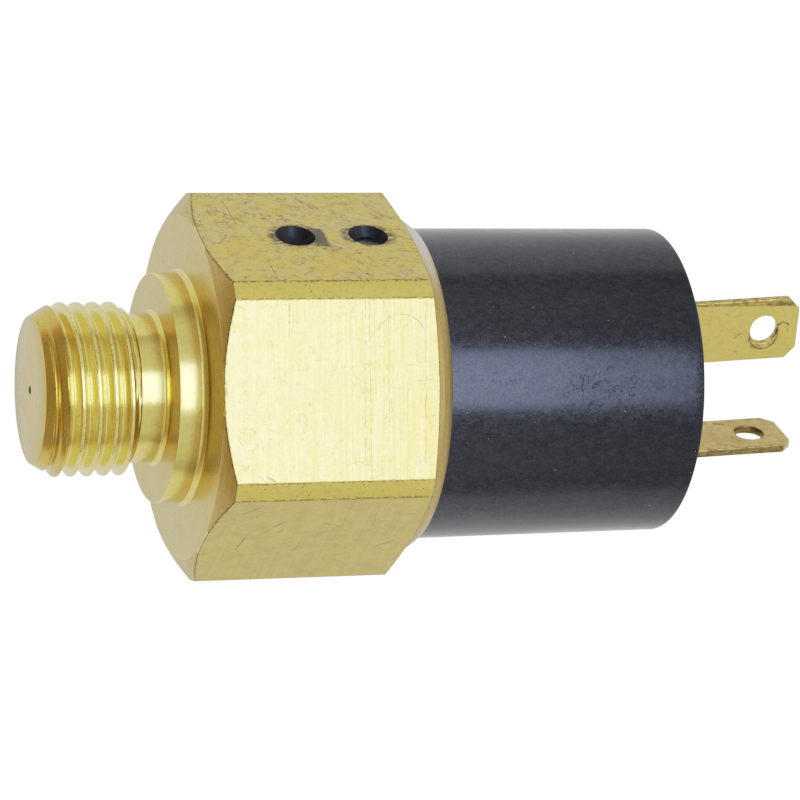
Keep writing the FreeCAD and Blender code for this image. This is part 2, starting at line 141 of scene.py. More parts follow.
# Blades
LAYOUT_ANGLE = radians(23.3)
BLADE_WIDTH = 6.3
BLADE_THICKNESS = 0.8
BLADE_LENGTH = 14.73
BLADE_CHAMFER = 1.1
BLADE_HOLE_RADIUS = 1.42
BLADE_HOLE_FROM_TIP = 3.5
PLANE_AREA = 1.0            # faces larger than this, in square millimetres, are flat-shaded
LEG_WIDTH = 4.0
FOOT_LENGTH = 4.6


# Mesh helpers --------------------

def smooth_min(a, b, blend):
    """The smaller of two values, with the corner between them rounded over blend."""
    h = max(blend - abs(a - b), 0.0) / blend
    return min(a, b) - h * h * blend / 4


def rounded(points, steps=3):
    """Points (x, r, radius) of an outline, with each corner replaced by an arc-like curve."""
    out = []
    for i, (x, r, radius) in enumerate(points):
        here = Vector((x, r))
        if radius <= 0 or i in (0, len(points) - 1):
            out.append(here)
            continue
        before = Vector(points[i - 1][:2]) - here
        after = Vector(points[i + 1][:2]) - here
        turn = before.angle(after, pi)
        reach = radius / max(tan(turn / 2), 1e-3)
        reach = min(reach, before.length * 0.45, after.length * 0.45)
        start = here + before.normalized() * reach
        end = here + after.normalized() * reach
        for k in range(steps + 1):
            t = k / steps
            out.append(start * (1 - t) ** 2 + here * 2 * t * (1 - t) + end * t * t)
    return out


def at_angle(x, r, angle):
    """Point in metres at x and radius r, turned from +Z towards +Y."""
    return Vector((x, r * sin(angle), r * cos(angle))) * MM


def finish_object(name, bm, material, sharp=30):
    """Object from a bmesh, smooth with its sharp edges kept."""
    bmesh.ops.recalc_face_normals(bm, faces=bm.faces)
    limit = radians(sharp)
    for edge in bm.edges:
        if len(edge.link_faces) == 2:
            edge.smooth = edge.calc_face_angle(0) < limit
    for face in bm.faces:
        face.smooth = True
    mesh = bpy.data.meshes.new(name)
    bm.to_mesh(mesh)
    bm.free()
    obj = bpy.data.objects.new(name, mesh)
    bpy.context.scene.collection.objects.link(obj)
    for m in material if isinstance(material, list) else [material]:
        mesh.materials.append(m)
    return obj


def stand_for(obj, node, body="case"):
    """Put a detailed piece in the place of a CAD node; body is None if it bends between two bodies."""
    if body:
        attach(obj, body)
    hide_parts(node)
    return obj


def add_face(bm, corners):
    """Face through the vertices that differ, unless they are too few or it is there already."""
    corners = list(dict.fromkeys(corners))
    if len(corners) > 2 and bm.faces.get(corners) is None:
        bm.faces.new(corners)


def bridge(bm, first, second):
    """Faces between two rings of vertices."""
    count = len(first)
    for i in range(count):
        j = (i + 1) % count
        add_face(bm, (first[i], first[j], second[j], second[i]))


def revolve(bm, profile, angles, closed_profile=True):
    """Rings of vertices for each profile point; profile(angle) gives (x, r) points."""
    columns = [[bm.verts.new(at_angle(p[0], p[1], a)) for p in profile(a)] for a in angles]
    rings = [list(ring) for ring in zip(*columns)]
    for k in range(len(rings) - 1):
        bridge(bm, rings[k], rings[k + 1])
    if closed_profile:
        bridge(bm, rings[-1], rings[0])
    return rings


def even_angles(count):
    return [2 * pi * i / count for i in range(count)]


def cut_with(obj, cutters):
    """Subtract cutter objects from obj, then delete them."""
    for cutter in cutters:
        modifier = obj.modifiers.new("cut", "BOOLEAN")
        modifier.object = cutter
        modifier.operation = "DIFFERENCE"
        modifier.solver = "EXACT"
        bpy.context.view_layer.update()
        depsgraph = bpy.context.evaluated_depsgraph_get()
        mesh = bpy.data.meshes.new_from_object(obj.evaluated_get(depsgraph))
        obj.modifiers.clear()
        old = obj.data
        obj.data = mesh
        bpy.data.meshes.remove(old)
    for cutter in cutters:
        bpy.data.objects.remove(cutter)


# Materials --------------------

class Nodes:
    """Short way to write the nodes of a material, or of a world."""

    def __init__(self, name, world=False):
        self.material = (bpy.data.worlds if world else bpy.data.materials).new(name)
        self.material.use_nodes = True
        self.tree = self.material.node_tree
        self.shader = self.tree.nodes["Background" if world else "Principled BSDF"]
        coordinates = self.add("ShaderNodeTexCoord")
        self.place = coordinates.outputs["Generated" if world else "Object"]

    def add(self, kind, inputs=(), **settings):
        """New node with its settings, and its inputs (number or name, value) filled or linked."""
        node = self.tree.nodes.new(kind)
        for key, value in settings.items():
            setattr(node, key, value)
        for key, value in inputs:
            self.link(value, node.inputs[key])
        return node

    def link(self, source, target):
        """Link a socket, or set a value; a colour of three parts is made opaque."""
        if isinstance(source, bpy.types.NodeSocket):
            self.tree.links.new(source, target)
        elif target.type == "RGBA":
            target.default_value = (*source, 1.0)
        else:
            target.default_value = source

    def math(self, operation, a, b=0.0):
        return self.add("ShaderNodeMath", enumerate((a, b, 0.0)), operation=operation).outputs[0]

    def plus(self, a, b):
        return self.math("ADD", a, b)

    def minus(self, a, b):
        return self.math("SUBTRACT", a, b)

    def times(self, a, b):
        return self.math("MULTIPLY", a, b)

    def most(self, a, b):
        return self.math("MAXIMUM", a, b)

    def size(self, value):
        return self.math("ABSOLUTE", value)

    def scaled(self, scale):
        """Object coordinates in millimetres, stretched by a scale per axis."""
        return self.vector("MULTIPLY", self.place, [s / MM for s in scale])

    def vector(self, operation, a, b=(0, 0, 0)):
        """Vector arithmetic; the dot product, the distance and the length give a number."""
        second = "Scale" if operation == "SCALE" else 1
        node = self.add("ShaderNodeVectorMath", ((0, a), (second, b)), operation=operation)
        wants_number = operation in ("DOT_PRODUCT", "DISTANCE", "LENGTH")
        return node.outputs["Value" if wants_number else "Vector"]

    def along(self, direction):
        """Object coordinate in millimetres along a direction."""
        return self.vector("DOT_PRODUCT", self.place, [d / MM for d in direction])

    def x(self):
        return self.along((1, 0, 0))

    def split(self):
        """The three coordinates, each as a value."""
        return self.add("ShaderNodeSeparateXYZ", [(0, self.place)]).outputs

    def joined(self, x, y, z=0.0):
        return self.add("ShaderNodeCombineXYZ", enumerate((x, y, z))).outputs[0]

    def radius(self):
        """Distance from the switch's axis in millimetres."""
        return self.vector("LENGTH", self.vector("MULTIPLY", self.place, (0, 1 / MM, 1 / MM)))

    def shaken(self, point, amount, scale):
        """Points pushed about by noise, so that drawn lines aren't straight."""
        push = self.noise(point, scale, 2.0, 0.5, output="Color")
        centred = self.vector("SUBTRACT", push, (0.5, 0.5, 0.5))
        return self.vector("ADD", point, self.vector("SCALE", centred, amount))

    def scratch(self, point, start, end, width):
        """1 on a thin line between two places (u, v), 0 away from it."""
        run = Vector((end[0] - start[0], end[1] - start[1], 0))
        offset = self.vector("SUBTRACT", point, (start[0], start[1], 0))
        share = self.ramp(self.vector("DOT_PRODUCT", offset, run / run.length_squared), 0, 1)
        nearest = self.vector("SCALE", run, share)
        return self.ramp(self.vector("DISTANCE", offset, nearest), width, width * 0.4)

    def scratches(self, point, lines):
        """The darkest of several scratches: two ends, width and strength of each."""
        mask = 0.0
        for x, y, end_x, end_y, width, strength in lines:
            line = self.scratch(point, (x, y), (end_x, end_y), width)
            mask = self.most(mask, self.times(line, strength))
        return mask

    def hairs(self, vector, scale, width, rarity):
        """Short curved hairlines, strewn about; a higher rarity leaves fewer."""
        wave = self.minus(self.noise(vector, scale, 2), 0.5)
        line = self.ramp(self.size(wave), width, 0)
        gate = self.ramp(self.noise(vector, scale * 0.8, 1, distortion=1.5), rarity, rarity + 0.05)
        return self.times(line, gate)

    def grain(self, scale, detail, rough=0.55, distortion=0.0):
        """Noise in the object's own coordinates, at one scale or at a scale per axis."""
        stretch = scale if isinstance(scale, tuple) else (scale, scale, scale)
        return self.noise(self.scaled(stretch), 1.0, detail, rough, distortion)

    def streaks(self, point, stretch, detail, rough=0.55):
        """Noise drawn out along the directions where the stretch is small."""
        return self.noise(self.vector("MULTIPLY", point, stretch), 1.0, detail, rough)

    def rings(self, scale, around, detail, rough=0.55):
        """Noise that follows turning marks: fine along x and the radius, slow round the axis."""
        x, y, z = self.split()
        angle = self.math("ARCTAN2", y, z)
        place = self.joined(self.times(x, scale / MM), self.times(self.radius(), scale),
                            self.times(angle, around))
        return self.noise(place, 1.0, detail, rough)

    def noise(self, vector, scale=1.0, detail=4.0, rough=0.55, distortion=0.0, output="Fac"):
        inputs = zip(("Vector", "Scale", "Detail", "Roughness", "Distortion"),
                     (vector, scale, detail, rough, distortion))
        return self.add("ShaderNodeTexNoise", inputs).outputs[output]

    def ramp(self, value, low, high, out_low=0.0, out_high=1.0, kind="LINEAR"):
        """Value mapped from low..high to out_low..out_high, clamped."""
        inputs = zip(("Value", "From Min", "From Max", "To Min", "To Max"),
                     (value, low, high, out_low, out_high))
        return self.add("ShaderNodeMapRange", inputs, interpolation_type=kind).outputs["Result"]

    def mix(self, factor, a, b):
        inputs = (("Factor", factor), (6, a), (7, b))
        return self.add("ShaderNodeMix", data_type="RGBA", inputs=inputs).outputs[2]

    def bump(self, height, strength, distance):
        """Bump of the given height in millimetres, over any earlier one."""
        inputs = [("Strength", strength), ("Distance", distance * MM), ("Height", height)]
        normal = self.shader.inputs["Normal"]
        if normal.links:
            inputs.append(("Normal", normal.links[0].from_socket))
        self.link(self.add("ShaderNodeBump", inputs).outputs[0], normal)

    def base(self, value, low, high, first, second):
        """Start with one colour where a value is low and another where it is high."""
        self.colour = self.mix(self.ramp(value, low, high), first, second)

    def wash(self, value, low, high, colour, most):
        """Lay a colour over what is there: not at all where a value is low, up to most where it is high."""
        self.paint(self.ramp(value, low, high, 0.0, most), colour)

    def paint(self, factor, colour):
        """Lay a colour over what is there, as far as the factor says."""
        self.colour = self.mix(factor, self.colour, colour)

    def metal(self, rough):
        self.set(Base_Color=self.colour, Metallic=1.0, Roughness=rough)

    def set(self, **values):
        for key, value in values.items():
            self.link(value, self.shader.inputs[key.replace("_", " ")])


BRASS = (0.57, 0.44, 0.130)
BRASS_TAN = (0.56, 0.43, 0.170)
BRASS_DARK = (0.36, 0.25, 0.06)
# Brighter than the flats' brass: partly the thread's finish, partly painted light.
BRASS_THREAD = (0.83, 0.71, 0.28)
BRASS_LIP = (0.46, 0.35, 0.135)
GRIME = (0.085, 0.06, 0.025)
SMUDGE = (0.075, 0.075, 0.085)


def spots(n, scale, size, seed):
    """Small round spots: 1 inside, 0 outside."""
    place = n.vector("ADD", n.scaled((1, 1, 1)), (seed, seed * 0.7, seed * 0.3))
    cells = n.add("ShaderNodeTexVoronoi", (("Vector", place), ("Scale", scale)), feature="F1")
    return n.ramp(cells.outputs["Distance"], size, size * 0.6)


def turned_brass(name, base, pale, rough, marks):
    """Bright turned brass: ring marks, soft colour drift, a few specks."""
    n = Nodes(name)
    rings = n.rings(14, 0.12, 3)
    fine = n.rings(55, 0.3, 2)
    drift = n.grain(0.25, 3)
    n.base(drift, 0.35, 0.65, base, pale)
    mottle = n.grain(1.8, 6, 0.75)
    n.wash(rings, 0.55, 0.75, BRASS_DARK, 0.3)
    n.wash(mottle, 0.5, 0.75, BRASS_DARK, 0.45)
    n.paint(spots(n, 1.6, 0.05, 3.0), GRIME)
    haze = n.ramp(fine, 0.3, 0.7, rough - 0.05, rough + 0.06)
    haze = n.plus(haze, n.ramp(mottle, 0.4, 0.7, 0.0, 0.08))
    n.metal(haze)
    n.bump(rings, 0.2 * marks, 0.02)
    n.bump(fine, 0.15 * marks, 0.01)
    return n.material


def lip_brass():
    """Crimped lip: tan, with a painted pale highlight on the side of the cross holes."""
    n = Nodes("crimped_brass")
    rings = n.rings(9, 1.5, 4, 0.7)
    grit = n.grain(3, 4, 0.7)
    side = n.plus(n.along((0, 1, 0)), n.ramp(grit, 0.3, 0.7, -1.5, 1.5))
    n.base(grit, 0.35, 0.7, BRASS_LIP, (0.40, 0.29, 0.10))
    # Painted highlight: the lip turns pale towards +Y, where it faces up into the room's light at a
    # glancing angle.
    n.wash(side, 8.5, 13.0, (0.62, 0.56, 0.50), 0.9)
    n.wash(rings, 0.55, 0.7, BRASS_DARK, 0.5)
    n.metal(n.ramp(grit, 0.3, 0.7, 0.26, 0.4))
    n.bump(rings, 0.3, 0.02)
    return n.material


def thread_brass():
    """Thread and its lead chamfer: soft gold, browner on the chamfer, grainy along the crests."""
    n = Nodes("thread_brass")
    x = n.x()
    grit = n.grain(4.5, 5, 0.75)
    rings = n.rings(16, 0.3, 3)
    lead = n.plus(x, n.ramp(grit, 0.3, 0.7, -0.15, 0.15))
    n.base(lead, LEAD_END, LEAD_END + 0.3, (0.62, 0.44, 0.105), BRASS_THREAD)
    share = n.ramp(x, LEAD_END + 0.6, LEAD_END - 0.2, 0.35, 0.8)
    specks = n.times(n.ramp(grit, 0.56, 0.66), share)
    n.paint(specks, (0.26, 0.17, 0.05))
    crest = n.ramp(n.radius(), THREAD_RADIUS - 0.10, THREAD_RADIUS - 0.02)
    n.paint(n.times(crest, n.ramp(grit, 0.52, 0.66, 0.0, 0.5)), GRIME)
    n.metal(n.ramp(grit, 0.3, 0.7, 0.16, 0.26))
    n.bump(rings, 0.25, 0.015)
    n.bump(grit, 0.3, 0.012)
    return n.material


def hexagon_height(n):
    """Distance from the axis towards the nearest flat: HALF_FLATS all over the hexagon's sides."""
    height = 0.0
    for a in (0, SECTOR, -SECTOR):
        height = n.most(height, n.size(n.along((0, sin(a), cos(a)))))
    return height


def chamfer_brass():
    """Coarsely turned chamfer, browner, with grime along its edge with the flats."""
    n = Nodes("chamfer_brass")
    rings = n.rings(8, 0.5, 4)
    cloud = n.grain(0.5, 5)
    grit = n.grain(4, 4, 0.7)
    speckle = n.rings(3.5, 12.0, 5, 0.75)
    n.base(cloud, 0.35, 0.7, (0.53, 0.40, 0.15), (0.45, 0.34, 0.10))
    n.wash(rings, 0.5, 0.8, BRASS_DARK, 0.4)
    n.wash(speckle, 0.55, 0.72, (0.30, 0.20, 0.05), 0.7)
    edge = n.ramp(hexagon_height(n), HALF_FLATS - 0.28, HALF_FLATS)
    edge = n.minus(edge, n.ramp(grit, 0.35, 0.65, 0.0, 0.7))
    n.wash(edge, 0.25, 0.6, GRIME, 0.85)
    n.metal(n.ramp(grit, 0.3, 0.7, 0.24, 0.4))
    n.bump(rings, 0.35, 0.03)
    n.bump(grit, 0.35, 0.02)
    return n.material


def edge_wear(n, grit):
    """Grime along the chamfer's edge and along the flat's two long edges."""
    radius = n.radius()
    rise = n.times(n.minus(radius, HALF_FLATS), tan(CHAMFER_ANGLE))
    behind = n.minus(n.x(), n.plus(rise, HEX_FRONT))
    edge = n.most(n.ramp(behind, 0.3, 0.02), n.ramp(radius, CORNER_RADIUS - 0.1, CORNER_RADIUS))
    return n.ramp(n.minus(edge, n.ramp(grit, 0.35, 0.65, 0.0, 0.7)), 0.2, 0.6, 0.0, 0.8)


def flat_brass(name, lines, clean=BRASS, worn=BRASS_TAN, drawn=(0.47, 0.36, 0.085),
               hair=None, stained=False):
    """Flat of drawn bar: fine lines across the switch's axis, hairs and scratches."""
    n = Nodes(name)
    x = n.x()
    across = n.along((0, 1, 0))
    flat = n.joined(x, across)
    point = n.shaken(flat, 0.3, 0.9)
    cloud = n.grain(0.3, 5, distortion=0.6)
    mottle = n.grain(1.1, 6, 0.65, 0.4)
    grit = n.grain(3, 4, 0.7)
    broad = n.streaks(flat, (4, 0.04, 0), 6, 0.85)
    fine = n.streaks(flat, (18, 0.2, 0), 3)
    share = n.ramp(x, HEX_FRONT, HEX_REAR, 0.4, 0.5 if stained else 1.0)
    n.base(cloud, 0.35, 0.65, worn, clean)
    n.wash(mottle, 0.45, 0.7, drawn, 0.6)
    n.paint(n.times(share, n.ramp(broad, 0.47, 0.56)), drawn)
    n.paint(n.times(share, n.ramp(fine, 0.45, 0.7, 0.0, 0.8)), drawn)
    if stained:
        stain = n.grain((0.5, 0.8, 0.8), 5, 0.6, 0.5)
        n.wash(stain, 0.45, 0.7, (0.45, 0.33, 0.13), 0.8)
    hairs = n.most(n.hairs(point, 0.45, 0.007, 0.56), n.hairs(point, 1.1, 0.012, 0.62))
    marks = n.most(n.scratches(point, lines), n.times(hairs, 0.55))
    marks = n.most(marks, n.times(spots(n, 1.1, 0.05, 9.0), 0.8))
    if hair:
        centre, radius = hair
        gap = n.minus(n.vector("DISTANCE", point, (*centre, 0)), radius)
        ring = n.ramp(n.size(gap), 0.05, 0.02, 0.0, 0.7)
        upper = n.ramp(across, centre[1] + 1.0, centre[1] + 1.1)
        marks = n.most(marks, n.times(ring, upper))
    marks = n.times(marks, n.ramp(mottle, 0.35, 0.55, 0.4, 1.0))
    n.paint(n.times(marks, 0.7), GRIME)
    n.paint(edge_wear(n, grit), GRIME)
    n.metal(n.ramp(grit, 0.3, 0.7, 0.2, 0.3))
    n.bump(broad, 0.25, 0.01)
    n.bump(marks, 0.4, -0.02)
    return n.material


# Scratches on the flat that faces up: x and across of both ends, width and strength, in millimetres
TOP_SCRATCHES = [
    (6.4, -7.5, 7.2, -8.0, 0.13, 1.0), (2.75, -0.2, 2.85, 0.9, 0.14, 1.0), (8.6, 4.6, 8.65, 7.9, 0.05, 0.8),
    (15.6, -7.9, 15.7, 8.0, 0.05, 0.6), (16.2, -8.0, 16.1, 8.0, 0.06, 0.5),
    (17.9, -3.0, 17.8, 8.0, 0.05, 0.5), (21.3, -7.0, 21.4, 8.0, 0.07, 0.6), (3.9, 7.6, 4.9, 7.0, 0.05, 0.7),
    (20.6, 0.7, 22.5, 0.9, 0.04, 0.6),
]
HAIR_CENTRE = (19.0, 4.3)       # of the one long curved hairline on the flat that faces up
HAIR_RADIUS = 2.4
SIDE_SCRATCHES = [              # on the other flats, across is the distance along Y
    (6.1, -14.6, 6.4, -13.4, 0.10, 1.0), (8.0, -12.9, 9.4, -11.8, 0.07, 0.8),
    (9.2, -13.0, 10.1, -12.4, 0.06, 0.8), (4.9, -11.0, 6.3, -10.4, 0.06, 0.7),
    (13.4, -12.2, 15.0, -12.6, 0.07, 0.7), (17.6, -10.6, 18.0, -12.6, 0.06, 0.7),
    (19.2, -14.9, 21.0, -14.2, 0.08, 0.8), (11.6, -15.0, 11.9, -14.1, 0.08, 0.7),
]


# Scratches on the flat with the cross holes; across runs towards the flat that faces up
HOLE_FLAT_SCRATCHES = [
    (6.3, -6.6, 6.6, -2.1, 0.06, 0.9), (5.6, -3.6, 6.5, -2.9, 0.05, 0.7), (3.4, -6.6, 4.9, -5.4, 0.05, 0.7),
    (7.9, 4.2, 7.95, 7.0, 0.06, 0.9), (7.95, 7.0, 9.9, 8.0, 0.05, 0.5), (13.6, -6.6, 14.6, -5.0, 0.07, 0.8),
    (14.2, -0.6, 13.6, -1.7, 0.10, 0.8), (16.5, 6.9, 16.9, 7.5, 0.16, 1.0),
    (18.6, 8.0, 19.6, 8.15, 0.14, 1.0), (21.0, 7.9, 21.7, 8.15, 0.16, 1.0),
    (20.4, 0.9, 22.2, 1.5, 0.05, 0.8), (20.3, 0.2, 22.0, 0.6, 0.06, 0.9),
    (20.2, -0.6, 21.6, 0.2, 0.05, 0.7), (21.0, 2.8, 22.6, 3.3, 0.05, 0.7), (9.3, 3.4, 10.3, 2.2, 0.05, 0.6),
    (4.5, 0.6, 6.9, -0.1, 0.05, 0.4),
]
DRAG_START, DRAG_END = 13.3, 14.6       # x of the dark drag mark behind the front hole
DRAG_HALF_WIDTH = 1.9


def hole_flat_brass():
    """The flat with the cross holes: yellower, with smears of black compound round both."""
    n = Nodes("hole_flat_brass")
    x = n.x()
    across = n.along((0, -cos(HOLE_FLAT_ANGLE), sin(HOLE_FLAT_ANGLE)))
    flat = n.joined(x, across)
    point = n.shaken(flat, 0.3, 1.0)
    cloud = n.grain(0.28, 4, 0.5, 0.8)
    grit = n.grain(3.5, 5, 0.75)
    rubbed = n.streaks(flat, (0.35, 7, 0), 4, 0.65)
    blotch = n.grain((0.9, 1.3, 1.3), 5, 0.6, 0.3)
    yellowness = n.plus(n.times(cloud, 0.75), n.times(blotch, 0.25))
    n.base(yellowness, 0.40, 0.60, (0.64, 0.49, 0.105), (0.61, 0.47, 0.215))
    rear = n.times(n.ramp(rubbed, 0.45, 0.65), n.ramp(x, 13.0, 17.0, 0.1, 0.6))
    n.paint(rear, (0.48, 0.38, 0.15))
    n.wash(blotch, 0.45, 0.72, (0.46, 0.34, 0.115), 0.9)
    n.wash(grit, 0.56, 0.75, (0.37, 0.27, 0.09), 0.5)
    smear = 0.0
    for hole_x in HOLE_PLACES.values():
        off = n.vector("SUBTRACT", point, (hole_x, 0, 0))
        gap = n.vector("LENGTH", n.vector("MULTIPLY", off, (0.78, 1, 0)))
        near = n.ramp(gap, 2.25, HOLE_RADIUS - 0.1)
        smear = n.most(smear, near)
    ragged = n.streaks(flat, (1.2, 2.5, 0), 5, 0.7)
    loose_x = n.plus(x, n.ramp(ragged, 0.3, 0.7, -0.25, 0.25))
    loose_y = n.plus(across, n.ramp(ragged, 0.3, 0.7, 0.5, -1.2))
    drag = n.ramp(loose_x, DRAG_END, DRAG_END - 0.3)
    drag = n.times(drag, n.ramp(x, DRAG_START - 0.6, DRAG_START))
    beside = n.ramp(n.size(loose_y), DRAG_HALF_WIDTH, DRAG_HALF_WIDTH - 0.5, 0.0, 0.9)
    drag = n.times(drag, beside)
    streaks = n.streaks(point, (0.9, 4, 0), 4, 0.7)
    smear = n.times(smear, n.ramp(streaks, 0.42, 0.54))
    smear = n.most(smear, n.times(drag, n.ramp(streaks, 0.25, 0.42, 0.5, 1.0)))
    n.paint(n.times(smear, 0.92), SMUDGE)
    hairs = n.most(n.hairs(point, 1.3, 0.020, 0.55), n.hairs(point, 0.4, 0.010, 0.47))
    slanted = n.joined(n.plus(x, across), n.minus(x, across))
    slanted = n.vector("MULTIPLY", slanted, (0.25, 1, 0))
    hairs = n.most(hairs, n.hairs(slanted, 0.5, 0.012, 0.48))
    marks = n.most(n.scratches(point, HOLE_FLAT_SCRATCHES), n.times(hairs, 0.9))
    marks = n.most(marks, spots(n, 1.3, 0.07, 2.0))
    marks = n.times(marks, n.ramp(blotch, 0.35, 0.55, 0.4, 1.0))
    n.paint(n.times(marks, 0.85), GRIME)
    n.paint(edge_wear(n, grit), GRIME)
    n.set(Base_Color=n.colour, Metallic=n.ramp(smear, 0.3, 1.0, 1.0, 0.6),
          Roughness=n.ramp(n.plus(grit, smear), 0.3, 1.2, 0.26, 0.6))
    n.bump(grit, 0.3, 0.015)
    n.bump(marks, 0.5, -0.03)
    return n.material


def corner_brass():
    """Turned lands on the hexagon's corners: yellow, with nicks along both edges."""
    n = Nodes("corner_brass")
    grit = n.grain(3, 4, 0.7)
    cloud = n.grain((0.5, 1.5, 1.5), 3)
    # Brighter than the flats' brass: partly the lands' finish, partly painted light.
    n.base(cloud, 0.35, 0.7, (0.84, 0.65, 0.165), (0.76, 0.60, 0.17))
    n.wash(grit, 0.5, 0.75, BRASS_DARK, 0.6)
    nick = n.ramp(hexagon_height(n), HALF_FLATS - 0.10, HALF_FLATS - 0.01)
    nick = n.times(nick, n.ramp(grit, 0.46, 0.54))
    n.paint(n.times(nick, 0.85), GRIME)
    n.paint(spots(n, 1.2, 0.09, 6.0), GRIME)
    n.paint(spots(n, 0.25, 0.05, 1.0), (0.9, 0.9, 0.85))
    n.metal(n.ramp(grit, 0.3, 0.7, 0.28, 0.42))
    n.bump(grit, 0.25, 0.015)
    return n.material


WORN_PATCH = (27.6, -1.0, 14.4)     # middle of the housing's crazed patch, with x shrunk to 0.7


def black_moulding(name):
    """Satin black moulded plastic with a fine skin texture, dust and light scuffs."""
    n = Nodes(name)
    grain = n.grain(5, 3, 0.6)
    broad = n.grain(0.35, 3)
    blotch = n.grain((0.9, 1.6, 1.6), 6, 0.7, 0.5)
    wave = n.grain((0.10, 0.18, 0.18), 0)
    n.base(broad, 0.35, 0.7, (0.002, 0.0022, 0.004), (0.004, 0.0045, 0.008))
    n.paint(spots(n, 0.45, 0.03, 5.0), (0.30, 0.31, 0.34))
    rough = n.plus(n.ramp(grain, 0.3, 0.7, 0.13, 0.21), n.ramp(blotch, 0.35, 0.7, 0.0, 0.12))
    skin = n.plus(n.times(grain, 0.6), n.times(blotch, 0.4))
    n.set(Base_Color=n.colour, Roughness=rough, IOR=1.52)
    worn = n.ramp(n.vector("DISTANCE", n.scaled((0.7, 1, 1)), WORN_PATCH), 4.0, 2.0)
    cracks = n.times(n.hairs(n.scaled((1, 1, 1)), 0.8, 0.035, 0.47), worn)
    gloss = n.times(n.ramp(skin, 0.35, 0.65, 0.36, 0.76), n.ramp(cracks, 0, 1, 1.0, 0.35))
    # Painted highlight: the gloss is raised near the lip and lowered towards the rear end, so that the soft
    # box's highlight fades along the housing.
    painted_highlight_fade = n.ramp(n.x(), LIP_END, HOUSING_REAR, 1.15, 0.80)
    n.set(Specular_IOR_Level=n.times(gloss, painted_highlight_fade))
    tint = n.mix(n.ramp(blotch, 0.4, 0.6), (0.83, 0.82, 1.0), (0.86, 0.92, 1.0))
    n.set(Specular_Tint=tint)
    n.bump(wave, 1.0, 0.12)
    n.bump(broad, 0.4, 0.03)
    n.bump(grain, 0.3, 0.005)
    return n.material


def black_resin(name):
    n = Nodes(name)
    broad = n.grain(0.8, 3)
    fine = n.grain(5, 4)
    n.base(broad, 0.3, 0.7, (0.004, 0.004, 0.008), (0.012, 0.012, 0.020))
    n.set(Base_Color=n.colour, Roughness=n.ramp(fine, 0.3, 0.7, 0.32, 0.44), IOR=1.36)
    n.set(Specular_Tint=(0.84, 0.86, 1.0))
    n.bump(broad, 0.3, 0.08)
    n.bump(fine, 0.15, 0.02)
    return n.material


def blade_brass(name, width_way, centre, lines, clean, dull, dirt_share):
    """Stamped strip: rolled along the blade, with dirt, scratches and dull patches."""
    n = Nodes(name)
    x = n.x()
    across = n.minus(n.along(width_way), centre)
    point = n.shaken(n.joined(x, across), 0.2, 1.5)
    rolled = n.grain((0.25, 7, 7), 4)
    cloud = n.grain(0.5, 5, distortion=0.8)
    dirt = n.grain((1.3, 2.2, 2.2), 6, 0.7, 0.4)
    n.base(cloud, 0.4, 0.65, clean, dull)
    n.wash(rolled, 0.45, 0.7, dull, 0.5)
    soft_dirt = n.ramp(dirt, 0.45, 0.62, 0.0, 0.35)
    n.paint(soft_dirt, (0.36, 0.27, 0.09))
    n.wash(dirt, 0.6, 0.74, (0.17, 0.115, 0.045), dirt_share)
    rim = n.ramp(n.size(across), BLADE_WIDTH / 2 - 0.16, BLADE_WIDTH / 2 - 0.04)
    rim = n.times(rim, n.ramp(dirt, 0.3, 0.6, 0.1, 0.8))
    drawn = n.times(n.scratches(point, lines), n.ramp(dirt, 0.38, 0.55, 0.15, 1.0))
    marks = n.most(drawn, n.hairs(point, 1.0, 0.006, 0.56))
    marks = n.most(marks, n.most(rim, spots(n, 0.9, 0.06, 4.0)))
    hole_x = HOUSING_REAR + BLADE_LENGTH - BLADE_HOLE_FROM_TIP
    gap = n.vector("DISTANCE", n.shaken(n.joined(x, across), 0.5, 1.5), (hole_x, 0, 0))
    mouth = n.ramp(gap, BLADE_HOLE_RADIUS + 0.28, BLADE_HOLE_RADIUS + 0.05, 0.0, 0.55)
    marks = n.most(marks, n.times(mouth, n.ramp(dirt, 0.4, 0.55)))
    off_rim = n.minus(n.vector("DISTANCE", n.joined(x, across), (hole_x, 0, 0)), BLADE_HOLE_RADIUS)
    wall = n.ramp(n.size(off_rim), 0.10, 0.04, 0.0, 0.85)
    n.paint(wall, (0.33, 0.22, 0.07))
    n.paint(n.times(marks, 0.9), GRIME)
    n.metal(n.ramp(dirt, 0.4, 0.75, 0.3, 0.5))
    n.bump(rolled, 0.2, 0.012)
    n.bump(marks, 0.4, -0.03)
    return n.material


# Scratches and dirt on the blades, with across measured from each blade's centre line
RADIAL_SCRATCHES = [
    (57.3, -0.3, 58.7, 0.8, 0.08, 0.8), (61.5, 0.9, 62.2, 1.4, 0.16, 0.9),
    (62.2, 1.4, 62.8, 1.1, 0.13, 0.8), (62.75, 0.7, 62.8, 0.3, 0.10, 0.8),
    (61.3, -1.1, 61.6, -0.8, 0.16, 0.8), (58.9, -0.6, 59.3, -1.3, 0.14, 0.7),
    (60.0, 1.45, 60.35, 1.9, 0.10, 1.0), (60.4, 1.9, 60.75, 1.5, 0.09, 1.0),
    (60.3, 1.9, 60.5, 2.2, 0.07, 0.8), (60.8, 2.4, 61.0, 2.9, 0.06, 0.6),
    (62.8, -2.6, 63.3, -2.1, 0.22, 0.7), (57.0, 1.9, 57.6, 2.1, 0.07, 0.6),
]
TANGENTIAL_SCRATCHES = [
    (56.4, 2.0, 57.5, 2.5, 0.50, 0.55), (59.2, 2.3, 59.7, 2.3, 0.12, 0.5),
    (60.5, 2.4, 61.2, 2.4, 0.12, 0.4), (57.6, -2.4, 58.4, -2.1, 0.25, 0.6),
    (61.2, -2.9, 62.7, -2.7, 0.18, 0.9), (55.4, -2.9, 57.2, -2.9, 0.16, 0.7),
    (58.2, 1.0, 59.0, 1.6, 0.20, 0.4),
]


